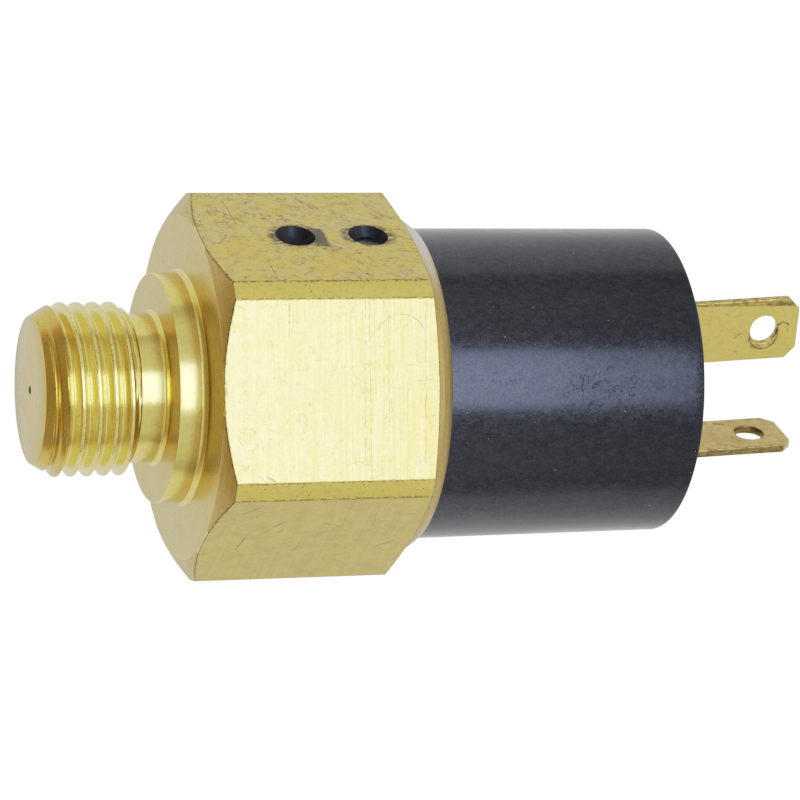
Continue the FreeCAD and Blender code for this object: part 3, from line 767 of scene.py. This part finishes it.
def plain_metal(name, colour, rough=0.28):
    """Turned inner metal piece."""
    n = Nodes(name)
    rings = n.rings(10, 0.2, 4)
    shade = tuple(c * 0.75 for c in colour)
    n.set(Base_Color=n.mix(n.ramp(rings, 0.4, 0.7), colour, shade), Metallic=1.0,
          Roughness=n.ramp(rings, 0.3, 0.7, rough - 0.08, rough + 0.1))
    n.bump(rings, 0.3, 0.02)
    return n.material


def dull_solid(name, colour, rough):
    """Rubber or pressed insulating board."""
    n = Nodes(name)
    grain = n.grain(3, 6, 0.7)
    shade = tuple(c * 0.6 for c in colour)
    n.set(Base_Color=n.mix(n.ramp(grain, 0.35, 0.7), colour, shade),
          Roughness=n.ramp(grain, 0.3, 0.7, rough - 0.1, rough + 0.1))
    n.bump(grain, 0.3, 0.03)
    return n.material


# Body --------------------

def hex_radius(angle):
    """Distance from the axis to the hexagon's side, with turned corners, at an angle."""
    off_centre = (angle + SECTOR / 2) % SECTOR - SECTOR / 2
    return smooth_min(HALF_FLATS / cos(off_centre), CORNER_RADIUS, 0.03)


def body_angles():
    """Angles of the body's columns: even on each flat, exact at the flat's two edges."""
    edge = acos(HALF_FLATS / CORNER_RADIUS)
    flat_steps = 36
    near_edge = radians(0.22)
    angles = []
    for side in range(6):
        centre = side * SECTOR
        reach = edge - near_edge
        angles += [centre - reach + 2 * reach * i / flat_steps for i in range(flat_steps + 1)]
        land = [0.0, 0.08, 0.5, 0.92, 1.0]
        width = SECTOR - 2 * edge
        angles += [centre + edge + width * t for t in land]
    return angles


def thread_radius(x, angle):
    """Radius of the threaded stud at x and an angle, with its lead chamfer and run-out."""
    turns = (angle - radians(92)) / (2 * pi)
    phase = ((x - CREST_AT_TOP) / THREAD_PITCH + turns + 0.5) % 1.0 - 0.5
    off_crest = abs(phase) * THREAD_PITCH
    flank = THREAD_RADIUS - (off_crest - CREST_HALF_WIDTH) * tan(FLANK_ANGLE)
    r = smooth_min(flank, THREAD_RADIUS, 0.10)
    root = THREAD_RADIUS - THREAD_DEPTH
    r = -smooth_min(-r, -root, 0.12)
    lead = NOSE_RADIUS + (x - NOSE) * LEAD_SLOPE
    run_out = NECK_RADIUS + max(0.0, NECK_START - x) * 1.6
    return smooth_min(smooth_min(r, lead, 0.05), run_out, 0.15)


def thread_rows(bm, angles, first, last):
    """Grid that follows the helix, so crests and roots stay crisp, between two rings."""
    end = NECK_START - 0.02
    per_pitch = 22
    step = THREAD_PITCH / per_pitch
    rows = int((end - STUD_START) / step) + 2 * per_pitch
    columns = []
    for i, angle in enumerate(angles):
        lean = -THREAD_PITCH * (angle % (2 * pi)) / (2 * pi)
        column = []
        for k in range(rows):
            x = STUD_START + k * step + lean
            if x <= STUD_START:
                column.append(first[i])
            elif x >= end:
                column.append(last[i])
            else:
                column.append(bm.verts.new(at_angle(x, thread_radius(x, angle), angle)))
        columns.append(column)
    for i in range(len(angles)):
        j = (i + 1) % len(angles)
        wraps = angles[j] % (2 * pi) < angles[i] % (2 * pi)
        shift = -per_pitch if wraps else 0
        for k in range(rows - 1):
            places = ((i, k), (j, k + shift), (j, k + 1 + shift), (i, k + 1))
            add_face(bm, [columns[column][min(max(row, 0), rows - 1)] for column, row in places])


def rear_profile(angle):
    """From the thread's end over neck, collar and hexagon to the lip, and back through the bore."""
    side = hex_radius(angle)
    over = side - HALF_FLATS
    return rounded([
        (NECK_START, NECK_RADIUS, 0),
        (-0.75, NECK_RADIUS, 0.1),
        (-0.30, NECK_RADIUS, 0.25),
        (0, NECK_RADIUS + 0.35, 0.25),
        (0, COLLAR_RADIUS - 0.25, 0),
        (0, COLLAR_RADIUS, 0.08),
        (1.9, COLLAR_RADIUS, 0.1),
        (2.2, COLLAR_RADIUS, 0.4),
        (HEX_FRONT, COLLAR_RADIUS + 0.3, 0.2),
        (HEX_FRONT, HALF_FLATS - 0.15, 0.1),
        (HEX_FRONT + 0.02 + over * tan(CHAMFER_ANGLE), side, 0.05),
        (HEX_REAR - 0.05 - over * tan(REAR_CHAMFER_ANGLE), side, 0.08),
        (HEX_REAR, HALF_FLATS - 0.08, 0.05),
        (HEX_REAR + 0.5, 15.75, 0.4),
        (HEX_REAR + 1.1, 15.35, 0.5),
        (LIP_END, 15.0, 0.15),
        (LIP_END, 14.62, 0.05),
        (HEX_REAR - 0.1, FLANGE_RADIUS, 0.05),
        (FLANGE_STEP, FLANGE_RADIUS, 0.05),
        (FLANGE_STEP, CAVITY_RADIUS, 0.05),
        (SEAT, CAVITY_RADIUS, 0.05),
        (SEAT, CHAMBER_RADIUS, 0.05),
        (CHAMBER_START, CHAMBER_RADIUS, 0.05),
        (CHAMBER_START, PORT_RADIUS, 0.05),
        (PORT_START, PORT_RADIUS, 0.05),
        (ORIFICE_END, ORIFICE_RADIUS, 0.02),
        (NOSE + 0.05, ORIFICE_RADIUS, 0),
    ])


def nose_profile(angle):
    """The nose face, from the orifice to the start of the thread."""
    return [
        Vector((NOSE, ORIFICE_RADIUS + 0.05)),
        Vector((NOSE, NOSE_RADIUS * 0.5)),
        Vector((NOSE, NOSE_RADIUS - 0.08)),
        Vector((STUD_START, thread_radius(STUD_START, angle))),
    ]


TURNED, FACED, THREAD, LIP, CHAMFER, CORNER, SIDE_FLAT, TOP_FLAT, HOLE_FLAT = range(9)


def body_slot(face):
    """Which of the body's materials a face gets, from where it lies and how it faces."""
    centre = face.calc_center_median() / MM
    radius = hypot(centre.y, centre.z)
    sideways = abs(face.normal.x)
    if sideways > 0.99 and centre.x < HEX_FRONT + 0.02 and radius < HALF_FLATS:
        return FACED
    if centre.x < NECK_START and radius > NOSE_RADIUS - 0.1:
        return THREAD
    if centre.x > HEX_REAR and radius > HOUSING_FRONT_RADIUS:
        return LIP
    if radius < HALF_FLATS - 0.02 or not HEX_FRONT < centre.x < HEX_REAR:
        return TURNED
    if sideways > 0.02:
        return CHAMFER
    if radius > CORNER_RADIUS - 0.02:
        return CORNER
    angle = degrees(atan2(centre.y, centre.z))
    if abs(angle) < 30:
        return TOP_FLAT
    return HOLE_FLAT if 30 < angle < 90 else SIDE_FLAT


def hole_cutter(x, material):
    """Tool for one cross hole."""
    bm = bmesh.new()
    r = HOLE_RADIUS * MM
    bmesh.ops.create_cone(bm, cap_ends=True, segments=72, radius1=r, radius2=r, depth=8 * MM)
    bm.transform(TO_HOLE_FLAT @ Matrix.Translation((x * MM, 0, HALF_FLATS * MM)))
    return finish_object("hole_cutter", bm, material)


def brass_body():
    bm = bmesh.new()
    angles = body_angles()
    nose = revolve(bm, nose_profile, angles, closed_profile=False)
    rear = revolve(bm, rear_profile, angles, closed_profile=False)
    thread_rows(bm, angles, nose[-1], rear[0])
    bridge(bm, rear[-1], nose[0])
    # Painted light and shade, in part: the turned, thread and corner brass get brighter colours, and the
    # faced brass a darker one, than the flats' brass, to make up for the light each kind of surface gets;
    # the rest is the finish of each.
    materials = [
        turned_brass("turned_brass", (0.82, 0.67, 0.22), (0.80, 0.655, 0.18), 0.19, 1.0),
        turned_brass("faced_brass", (0.54, 0.39, 0.105), (0.56, 0.42, 0.13), 0.2, 1.3),
        thread_brass(),
        lip_brass(),
        chamfer_brass(),
        corner_brass(),
        flat_brass("side_flat_brass", SIDE_SCRATCHES, stained=True),
        flat_brass("top_flat_brass", TOP_SCRATCHES, (0.57, 0.455, 0.175), (0.56, 0.44, 0.145),
                   (0.46, 0.36, 0.066), (HAIR_CENTRE, HAIR_RADIUS)),
        hole_flat_brass(),
    ]
    for face in bm.faces:
        face.normal_update()
        face.material_index = body_slot(face)
    body = finish_object("brass_body", bm, materials, 24)
    for face in body.data.polygons:
        face.use_smooth = face.material_index < SIDE_FLAT
    cut_with(body, [hole_cutter(x, materials[0]) for x in HOLE_PLACES.values()])
    return stand_for(body, "body")


def filled_disc(rings, around, spot, centre, base):
    """Closed disc: spot(share, angle) and centre give its top in millimetres, base its lower side."""
    bm = bmesh.new()
    grid = []
    for k in range(1, rings + 1):
        grid.append([bm.verts.new(spot(k / rings, angle) * MM) for angle in even_angles(around)])
    middle = bm.verts.new(Vector(centre) * MM)
    for i in range(around):
        bm.faces.new((middle, grid[0][i], grid[0][(i + 1) % around]))
    for k in range(rings - 1):
        bridge(bm, grid[k], grid[k + 1])
    low = [bm.verts.new(base(v.co)) for v in grid[-1]]
    bridge(bm, grid[-1], low)
    bm.faces.new(list(reversed(low)))
    return bm


def sealing_plug(node, x):
    """Dished black compound just under the flat, with a slightly uneven edge."""
    skin = HALF_FLATS - PLUG_SINK

    def spot(share, angle):
        r = share * (HOLE_RADIUS - 0.01)
        wobble = 0.02 * noise.noise(Vector((x + 2 * cos(angle), 2 * sin(angle), share * 2)))
        height = skin - PLUG_DISH * (1 - share ** 2.3) - abs(wobble)
        lean = (1 - share) * PLUG_LEAN
        return Vector((x + r * cos(angle) + lean, r * sin(angle) + lean, height))

    centre = (x + PLUG_LEAN, PLUG_LEAN, skin - PLUG_DISH)
    bm = filled_disc(18, 64, spot, centre, lambda co: Vector((co.x, co.y, PLUG_FLOORS[node] * MM)))
    bm.transform(TO_HOLE_FLAT)
    return stand_for(finish_object(node + "_skin", bm, PLUG_RESIN), node)


# Housing --------------------

def black_housing():
    def profile(_):
        return rounded([
            (HOUSING_START, HOUSING_BORE, 0.1),
            (HOUSING_START, CAVITY_RADIUS, 0.1),
            (HOUSING_FLANGE[0], CAVITY_RADIUS, 0.05),
            (HOUSING_FLANGE[0], FLANGE_RADIUS - 0.02, 0.1),
            (HOUSING_FLANGE[1], FLANGE_RADIUS - 0.02, 0.1),
            (LIP_END, HOUSING_FRONT_RADIUS, 0.2),
            (HOUSING_REAR - 1.0, HOUSING_REAR_RADIUS, 0.1),
            (HOUSING_REAR, HOUSING_REAR_RADIUS, 0.28),
            (HOUSING_REAR, RECESS_RADIUS + 0.1, 0.2),
            (HOUSING_REAR - 0.3, RECESS_RADIUS, 0.15),
            (RECESS_FLOOR, RECESS_RADIUS, 0.05),
            (RECESS_FLOOR, 0.4, 0.05),
            (HOUSING_WALL_START, 0.4, 0.05),
            (HOUSING_WALL_START, HOUSING_BORE, 0.4),
        ], 5)
    bm = bmesh.new()
    revolve(bm, profile, even_angles(256))
    return stand_for(finish_object("housing_shell", bm, HOUSING_PLASTIC), "housing")


def resin_fill():
    """Cast resin round the blades: it creeps up the rim and the blades, with faint ripples."""
    blades = [blade_section(b) for b in BLADES.values()]
    level = POTTING_TOP - 0.35

    def spot(share, angle):
        r = RECESS_RADIUS * share
        y, z = r * sin(angle), r * cos(angle)
        rim = exp(-(RECESS_RADIUS - r) / 0.6) * 0.3
        near = min(distance_to_section(y, z, b) for b in blades)
        climb = exp(-near / 0.45) * 0.32
        ripple = 0.05 * noise.noise(Vector((y * 0.35, z * 0.35, 4.0)))
        return Vector((level + min(rim + climb, 0.33) + ripple, y, z))

    bm = filled_disc(60, 160, spot, (level, 0, 0), lambda co: Vector((RECESS_FLOOR * MM, co.y, co.z)))
    return stand_for(finish_object("resin_fill", bm, RESIN), "potting_compound")


# Terminals --------------------

BLADES = {
    "terminal_radial": dict(offset=4.63, shift=0.0, turn=0, lean=3.0, foot=35.35),
    "terminal_tangential": dict(offset=-6.44, shift=0.88, turn=90, lean=2.5, foot=33.3),
}


def blade_section(b):
    """Centre line of a blade where it leaves the resin: its two ends, in millimetres."""
    half = BLADE_WIDTH / 2
    along = Vector((1, 0)) if b["turn"] == 0 else Vector((0, 1))
    centre = Vector((b["offset"], b["shift"]))
    ends = []
    for side in (-half, half):
        p = centre + along * side
        y = p.x * cos(LAYOUT_ANGLE) - p.y * sin(LAYOUT_ANGLE)
        z = p.x * sin(LAYOUT_ANGLE) + p.y * cos(LAYOUT_ANGLE)
        ends.append(Vector((y, z)))
    return ends


def distance_to_section(y, z, ends):
    """Distance from a point to a blade's side, zero inside the blade."""
    point = Vector((y, z))
    line = ends[1] - ends[0]
    t = min(max((point - ends[0]).dot(line) / line.length_squared, 0), 1)
    return max((point - ends[0] - line * t).length - BLADE_THICKNESS / 2, 0)


def blade_outline():
    """Blade seen flat, from the recess's floor to the tip with its cut corners."""
    half = BLADE_WIDTH / 2
    start = RECESS_FLOOR - HOUSING_REAR
    return [
        (start, -half),
        (BLADE_LENGTH - BLADE_CHAMFER, -half),
        (BLADE_LENGTH, -half + BLADE_CHAMFER),
        (BLADE_LENGTH, half - BLADE_CHAMFER),
        (BLADE_LENGTH - BLADE_CHAMFER, half),
        (start, half),
    ]


def plate_with_hole(outline, hole_x, low, high):
    """Flat plate in XY between two heights, with a round hole."""
    bm = bmesh.new()
    around = 64
    outer = [bm.verts.new((p[0], p[1], 0)) for p in outline]
    inner = []
    for angle in even_angles(around):
        x = hole_x + BLADE_HOLE_RADIUS * cos(angle)
        inner.append(bm.verts.new((x, BLADE_HOLE_RADIUS * sin(angle), 0)))
    for loop in (outer, inner):
        for i, v in enumerate(loop):
            bm.edges.new((v, loop[(i + 1) % len(loop)]))
    bmesh.ops.triangle_fill(bm, use_beauty=True, use_dissolve=False, edges=bm.edges)
    raised = bmesh.ops.extrude_face_region(bm, geom=list(bm.faces))
    top = {g for g in raised["geom"] if isinstance(g, bmesh.types.BMVert)}
    for v in bm.verts:
        v.co.z = high if v in top else low
    return bm


def soften(bm, size):
    """Bevel every sharp edge by a small size."""
    sharp = [e for e in bm.edges if len(e.link_faces) == 2 and e.calc_face_angle(0) > radians(40)]
    bmesh.ops.bevel(bm, geom=sharp, offset=size, segments=2, profile=0.5, affect="EDGES")


def leg_and_foot(b):
    """Strip inside the housing: a leg from the resin, bent into a foot that holds a contact."""
    half = BLADE_THICKNESS / 2
    bend = 0.5
    wide = LEG_WIDTH / 2
    reach = FOOT_LENGTH - half
    top = RECESS_FLOOR + 0.3
    outside = [(top, -half), (b["foot"] + bend, -half), (b["foot"], -half + bend), (b["foot"], reach)]
    inside = [(b["foot"] + BLADE_THICKNESS, reach), (b["foot"] + BLADE_THICKNESS, half), (top, half)]
    bm = bmesh.new()
    rows = []
    for side in (-wide, wide):
        rows.append([bm.verts.new((x, side, h)) for x, h in outside + inside])
    bridge(bm, rows[0], rows[1])
    bm.faces.new(rows[0])
    bm.faces.new(list(reversed(rows[1])))
    bmesh.ops.recalc_face_normals(bm, faces=bm.faces)
    soften(bm, 0.06)
    return bm


def terminal(node):
    """Stamped blade with softened edges, and the leg and foot inside the housing."""
    b = BLADES[node]
    half = BLADE_THICKNESS / 2
    bm = plate_with_hole(blade_outline(), BLADE_LENGTH - BLADE_HOLE_FROM_TIP, -half, half)
    bmesh.ops.recalc_face_normals(bm, faces=bm.faces)
    bmesh.ops.dissolve_limit(bm, angle_limit=radians(1), verts=bm.verts, edges=bm.edges)
    soften(bm, 0.09)
    turn = Matrix.Rotation(radians(b["turn"]), 4, "X")
    lean = Matrix.Rotation(radians(b["lean"]), 4, "Z")
    place = Matrix.Translation((HOUSING_REAR, b["offset"], b["shift"]))
    bm.transform(place @ lean @ turn)
    leg = leg_and_foot(b)
    leg.transform(Matrix.Translation((0, b["offset"], 0)) @ turn)
    spare = bpy.data.meshes.new("leg")
    leg.to_mesh(spare)
    leg.free()
    bm.from_mesh(spare)
    bpy.data.meshes.remove(spare)
    bm.transform(Matrix.Scale(MM, 4) @ Matrix.Rotation(LAYOUT_ANGLE, 4, "X"))
    blade = finish_object(node + "_blade", bm, BLADE_SKINS[node], 35)
    for face in blade.data.polygons:
        face.use_smooth = face.area < PLANE_AREA * MM * MM
    return stand_for(blade, node)


# Build everything --------------------

HOUSING_PLASTIC = black_moulding("housing_plastic")
RESIN = black_resin("potting_resin")
PLUG_RESIN = black_resin("plug_resin")
RADIAL_WAY = (0, cos(LAYOUT_ANGLE), sin(LAYOUT_ANGLE))
TANGENTIAL_WAY = (0, -sin(LAYOUT_ANGLE), cos(LAYOUT_ANGLE))
BLADE_SKINS = {
    "terminal_radial": blade_brass("radial_blade_brass", RADIAL_WAY, BLADES["terminal_radial"]["offset"],
                                   RADIAL_SCRATCHES, (0.76, 0.59, 0.17), (0.71, 0.55, 0.16), 0.4),
    "terminal_tangential": blade_brass("tangential_blade_brass", TANGENTIAL_WAY,
                                       BLADES["terminal_tangential"]["shift"], TANGENTIAL_SCRATCHES,
                                       (0.53, 0.405, 0.15), (0.44, 0.32, 0.11), 0.7),
}

brass_body()
for plug, plug_x in HOLE_PLACES.items():
    sealing_plug(plug, plug_x)
black_housing()
resin_fill()
for blade_node in BLADES:
    terminal(blade_node)

INNER = {
    "steel": plain_metal("turned_steel", (0.56, 0.56, 0.58)),
    "spring_steel": plain_metal("spring_steel", (0.50, 0.50, 0.52), 0.22),
    "plain_brass": plain_metal("plain_brass", (0.78, 0.64, 0.26), 0.3),
    "spring_brass": plain_metal("spring_brass", (0.80, 0.62, 0.28), 0.3),
    "contact_metal": plain_metal("contact_silver", (0.86, 0.85, 0.82), 0.18),
    "seal_rubber": dull_solid("seal_rubber", (0.02, 0.02, 0.021), 0.55),
    "insulator": dull_solid("insulating_board", (0.36, 0.22, 0.10), 0.6),
    "brass": plain_metal("brass_core", (0.78, 0.64, 0.26), 0.3),
    "sealant": RESIN,
    "housing_plastic": HOUSING_PLASTIC,
    "terminal_brass": BLADE_SKINS["terminal_radial"],
}
for sub in frame["record"]["subparts"]:
    node_object = frame["nodes"][sub["node"]]
    node_object.data.materials.clear()
    node_object.data.materials.append(INNER[sub["material_slot"]])


# Inner pieces that change shape --------------------

RIVET_TO_BEND = 1.3             # from the rivet along the arm, to where it starts to bend
RIVET_TO_STRAIGHT = 6.0         # and to where it is straight again


def flexing_copy(node, cuts=()):
    """Closed copy of a CAD piece, with its faces cut at planes (point, normal) so that it can bend."""
    source = frame["nodes"][node]
    bm = bmesh.new()
    bm.from_mesh(source.data)
    bm.transform(source.matrix_world)
    bmesh.ops.remove_doubles(bm, verts=bm.verts, dist=0.0005 * MM)
    for point, normal in cuts:
        everything = list(bm.verts) + list(bm.edges) + list(bm.faces)
        bmesh.ops.bisect_plane(bm, geom=everything, plane_co=point, plane_no=normal)
    return finish_object(node + "_flexing", bm, source.data.materials[0])


def range_spring():
    """The coil spring, which shortens as the piston moves, put in as a closed copy with a mesh of its own.
    """
    spring = stand_for(flexing_copy("range_spring"), "range_spring")
    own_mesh(spring)


def contact_arm():
    """The leaf that stays flat at its rivet and bends beyond it, put in as a copy cut into slices where it
    bends.
    """
    hinge = next(j for j in frame["record"]["behaviour"]["joints"] if j["name"] == "arm_flex")
    rivet = Vector(hinge["pos_m"])
    way = Vector(RADIAL_WAY)
    steps = 12
    reach = RIVET_TO_STRAIGHT - RIVET_TO_BEND
    places = [rivet + way * (RIVET_TO_BEND + reach * k / steps) * MM for k in range(steps + 1)]
    arm = flexing_copy("contact_arm", [(place, way) for place in places])
    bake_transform(arm)
    stand_for(arm, "contact_arm", None)


range_spring()
contact_arm()


# Stage, light and camera --------------------

WHITE = 2.5                   # radiance that the picture shows as pure white
FLOOR_WHITE_FROM = -0.03      # x where the white table top starts to end, in metres
FLOOR_BROWN_FROM = -0.075
LIGHT_DISTANCE = 0.6


def glowing(name, colour, strength):
    """Material of a lit backdrop, with a faint unevenness."""
    n = Nodes(name)
    grain = n.grain(0.02, 2)
    n.set(Base_Color=n.mix(grain, (0.05, 0.05, 0.05), (0.07, 0.07, 0.07)), Roughness=0.8)
    n.set(Emission_Color=colour(n) if callable(colour) else colour, Emission_Strength=strength)
    return n.material


def table_colour(n):
    """White table top that ends in a darker brown room on the nose's side."""
    edge = n.ramp(n.along((MM, 0, 0)), FLOOR_BROWN_FROM, FLOOR_WHITE_FROM)
    return n.mix(edge, (0.50, 0.33, 0.09), (1.0, 0.985, 0.96))


def pale_floor():
    """The table top as the brass reflects it, at the height of the flat that the switch lies on."""
    bm = bmesh.new()
    bmesh.ops.create_grid(bm, x_segments=1, y_segments=1, size=3.0)
    floor = finish_object("table_top", bm, glowing("table_white", table_colour, 0.93))
    floor.location = (0, 0, CAD_BOX[0][2])
    floor.visible_camera = False


def backdrop():
    """White surround that the camera sees: the table top's plane, closed by a dome."""
    bm = bmesh.new()
    bmesh.ops.create_uvsphere(bm, u_segments=64, v_segments=32, radius=4.0)
    for v in bm.verts:
        v.co.z = max(v.co.z, 0.0)
    bmesh.ops.remove_doubles(bm, verts=bm.verts, dist=1e-5)
    dome = finish_object("surround", bm, glowing("surround_white", (1.0, 1.0, 1.0), WHITE))
    dome.location = (0, 0, CAD_BOX[0][2] - 0.0002)
    for ray in ("diffuse", "glossy", "transmission", "shadow"):
        setattr(dome, "visible_" + ray, False)


def film_curve():
    """Soft shoulder for the highlights: straight up to a knee, then levelling off towards white."""
    view = bpy.context.scene.view_settings
    view.view_transform = "Standard"
    view.use_curve_mapping = True
    mapping = view.curve_mapping
    mapping.white_level = (WHITE, WHITE, WHITE)
    curve = mapping.curves[3]
    for x, y in ((0.45, 0.45), (0.69, 0.58), (1.0, 0.70), (1.4, 0.81), (1.9, 0.91)):
        curve.points.new(x / WHITE, y)
    for point in curve.points:
        point.handle_type = "VECTOR"
    mapping.update()


def aimed(data, position, target, roll=0.0):
    """Put a light or a camera at one place, looking at another."""
    obj = bpy.data.objects.new(data.name, data)
    bpy.context.scene.collection.objects.link(obj)
    forward = (target - position).normalized()
    level = forward.cross(Vector((0, 1, 0))).normalized()
    side = level * cos(roll) - level.cross(forward) * sin(roll)
    turn = Matrix((side, side.cross(forward), -forward)).transposed()
    obj.matrix_world = Matrix.Translation(position) @ turn.to_4x4()
    return obj


def key_light():
    """Cool soft box, which lights the flat that faces up and the housing's highlight."""
    light = bpy.data.lights.new("key", "AREA")
    light.shape = "RECTANGLE"
    light.size = 0.29
    light.size_y = 0.47
    light.energy = 1.82
    light.color = (0.87, 1.0, 1.30)
    target = Vector((0.02, 0, 0))
    aimed(light, target + Vector((0.215, 0.04, 0.975)).normalized() * LIGHT_DISTANCE, target)


def camera():
    """Long lens above the flat that faces up, a little on the nose's side."""
    data = bpy.data.cameras.new("camera")
    data.sensor_width = 36
    data.lens = 164.4
    data.clip_start = 0.01
    position = Vector((-82.67, 10.76, 326.6)) * MM
    aim = Vector((24.1, -1.56, 0)) * MM
    bpy.context.scene.camera = aimed(data, position, aim, radians(0.45))


def world():
    """Pale room: brighter overhead and behind the blades, dim and warm at the nose's side."""
    n = Nodes("studio", world=True)
    x, _, z = n.split()
    height = n.ramp(z, 0.05, 0.45, 0.5, 0.80, "SMOOTHSTEP")
    nose_side = n.ramp(x, -0.80, -0.42, 0.5, 1.0, "SMOOTHSTEP")
    blade_side = n.ramp(x, 0.50, 0.70, 1.0, 1.6, "SMOOTHSTEP")
    warmth = n.ramp(x, -0.80, -0.42, 0.0, 1.0, "SMOOTHSTEP")
    n.set(Color=n.mix(warmth, (1.0, 0.80, 0.42), (1.0, 0.99, 0.98)),
          Strength=n.times(n.times(height, nose_side), blade_side))
    bpy.context.scene.world = n.material


pale_floor()
backdrop()
key_light()
camera()
world()
film_curve()
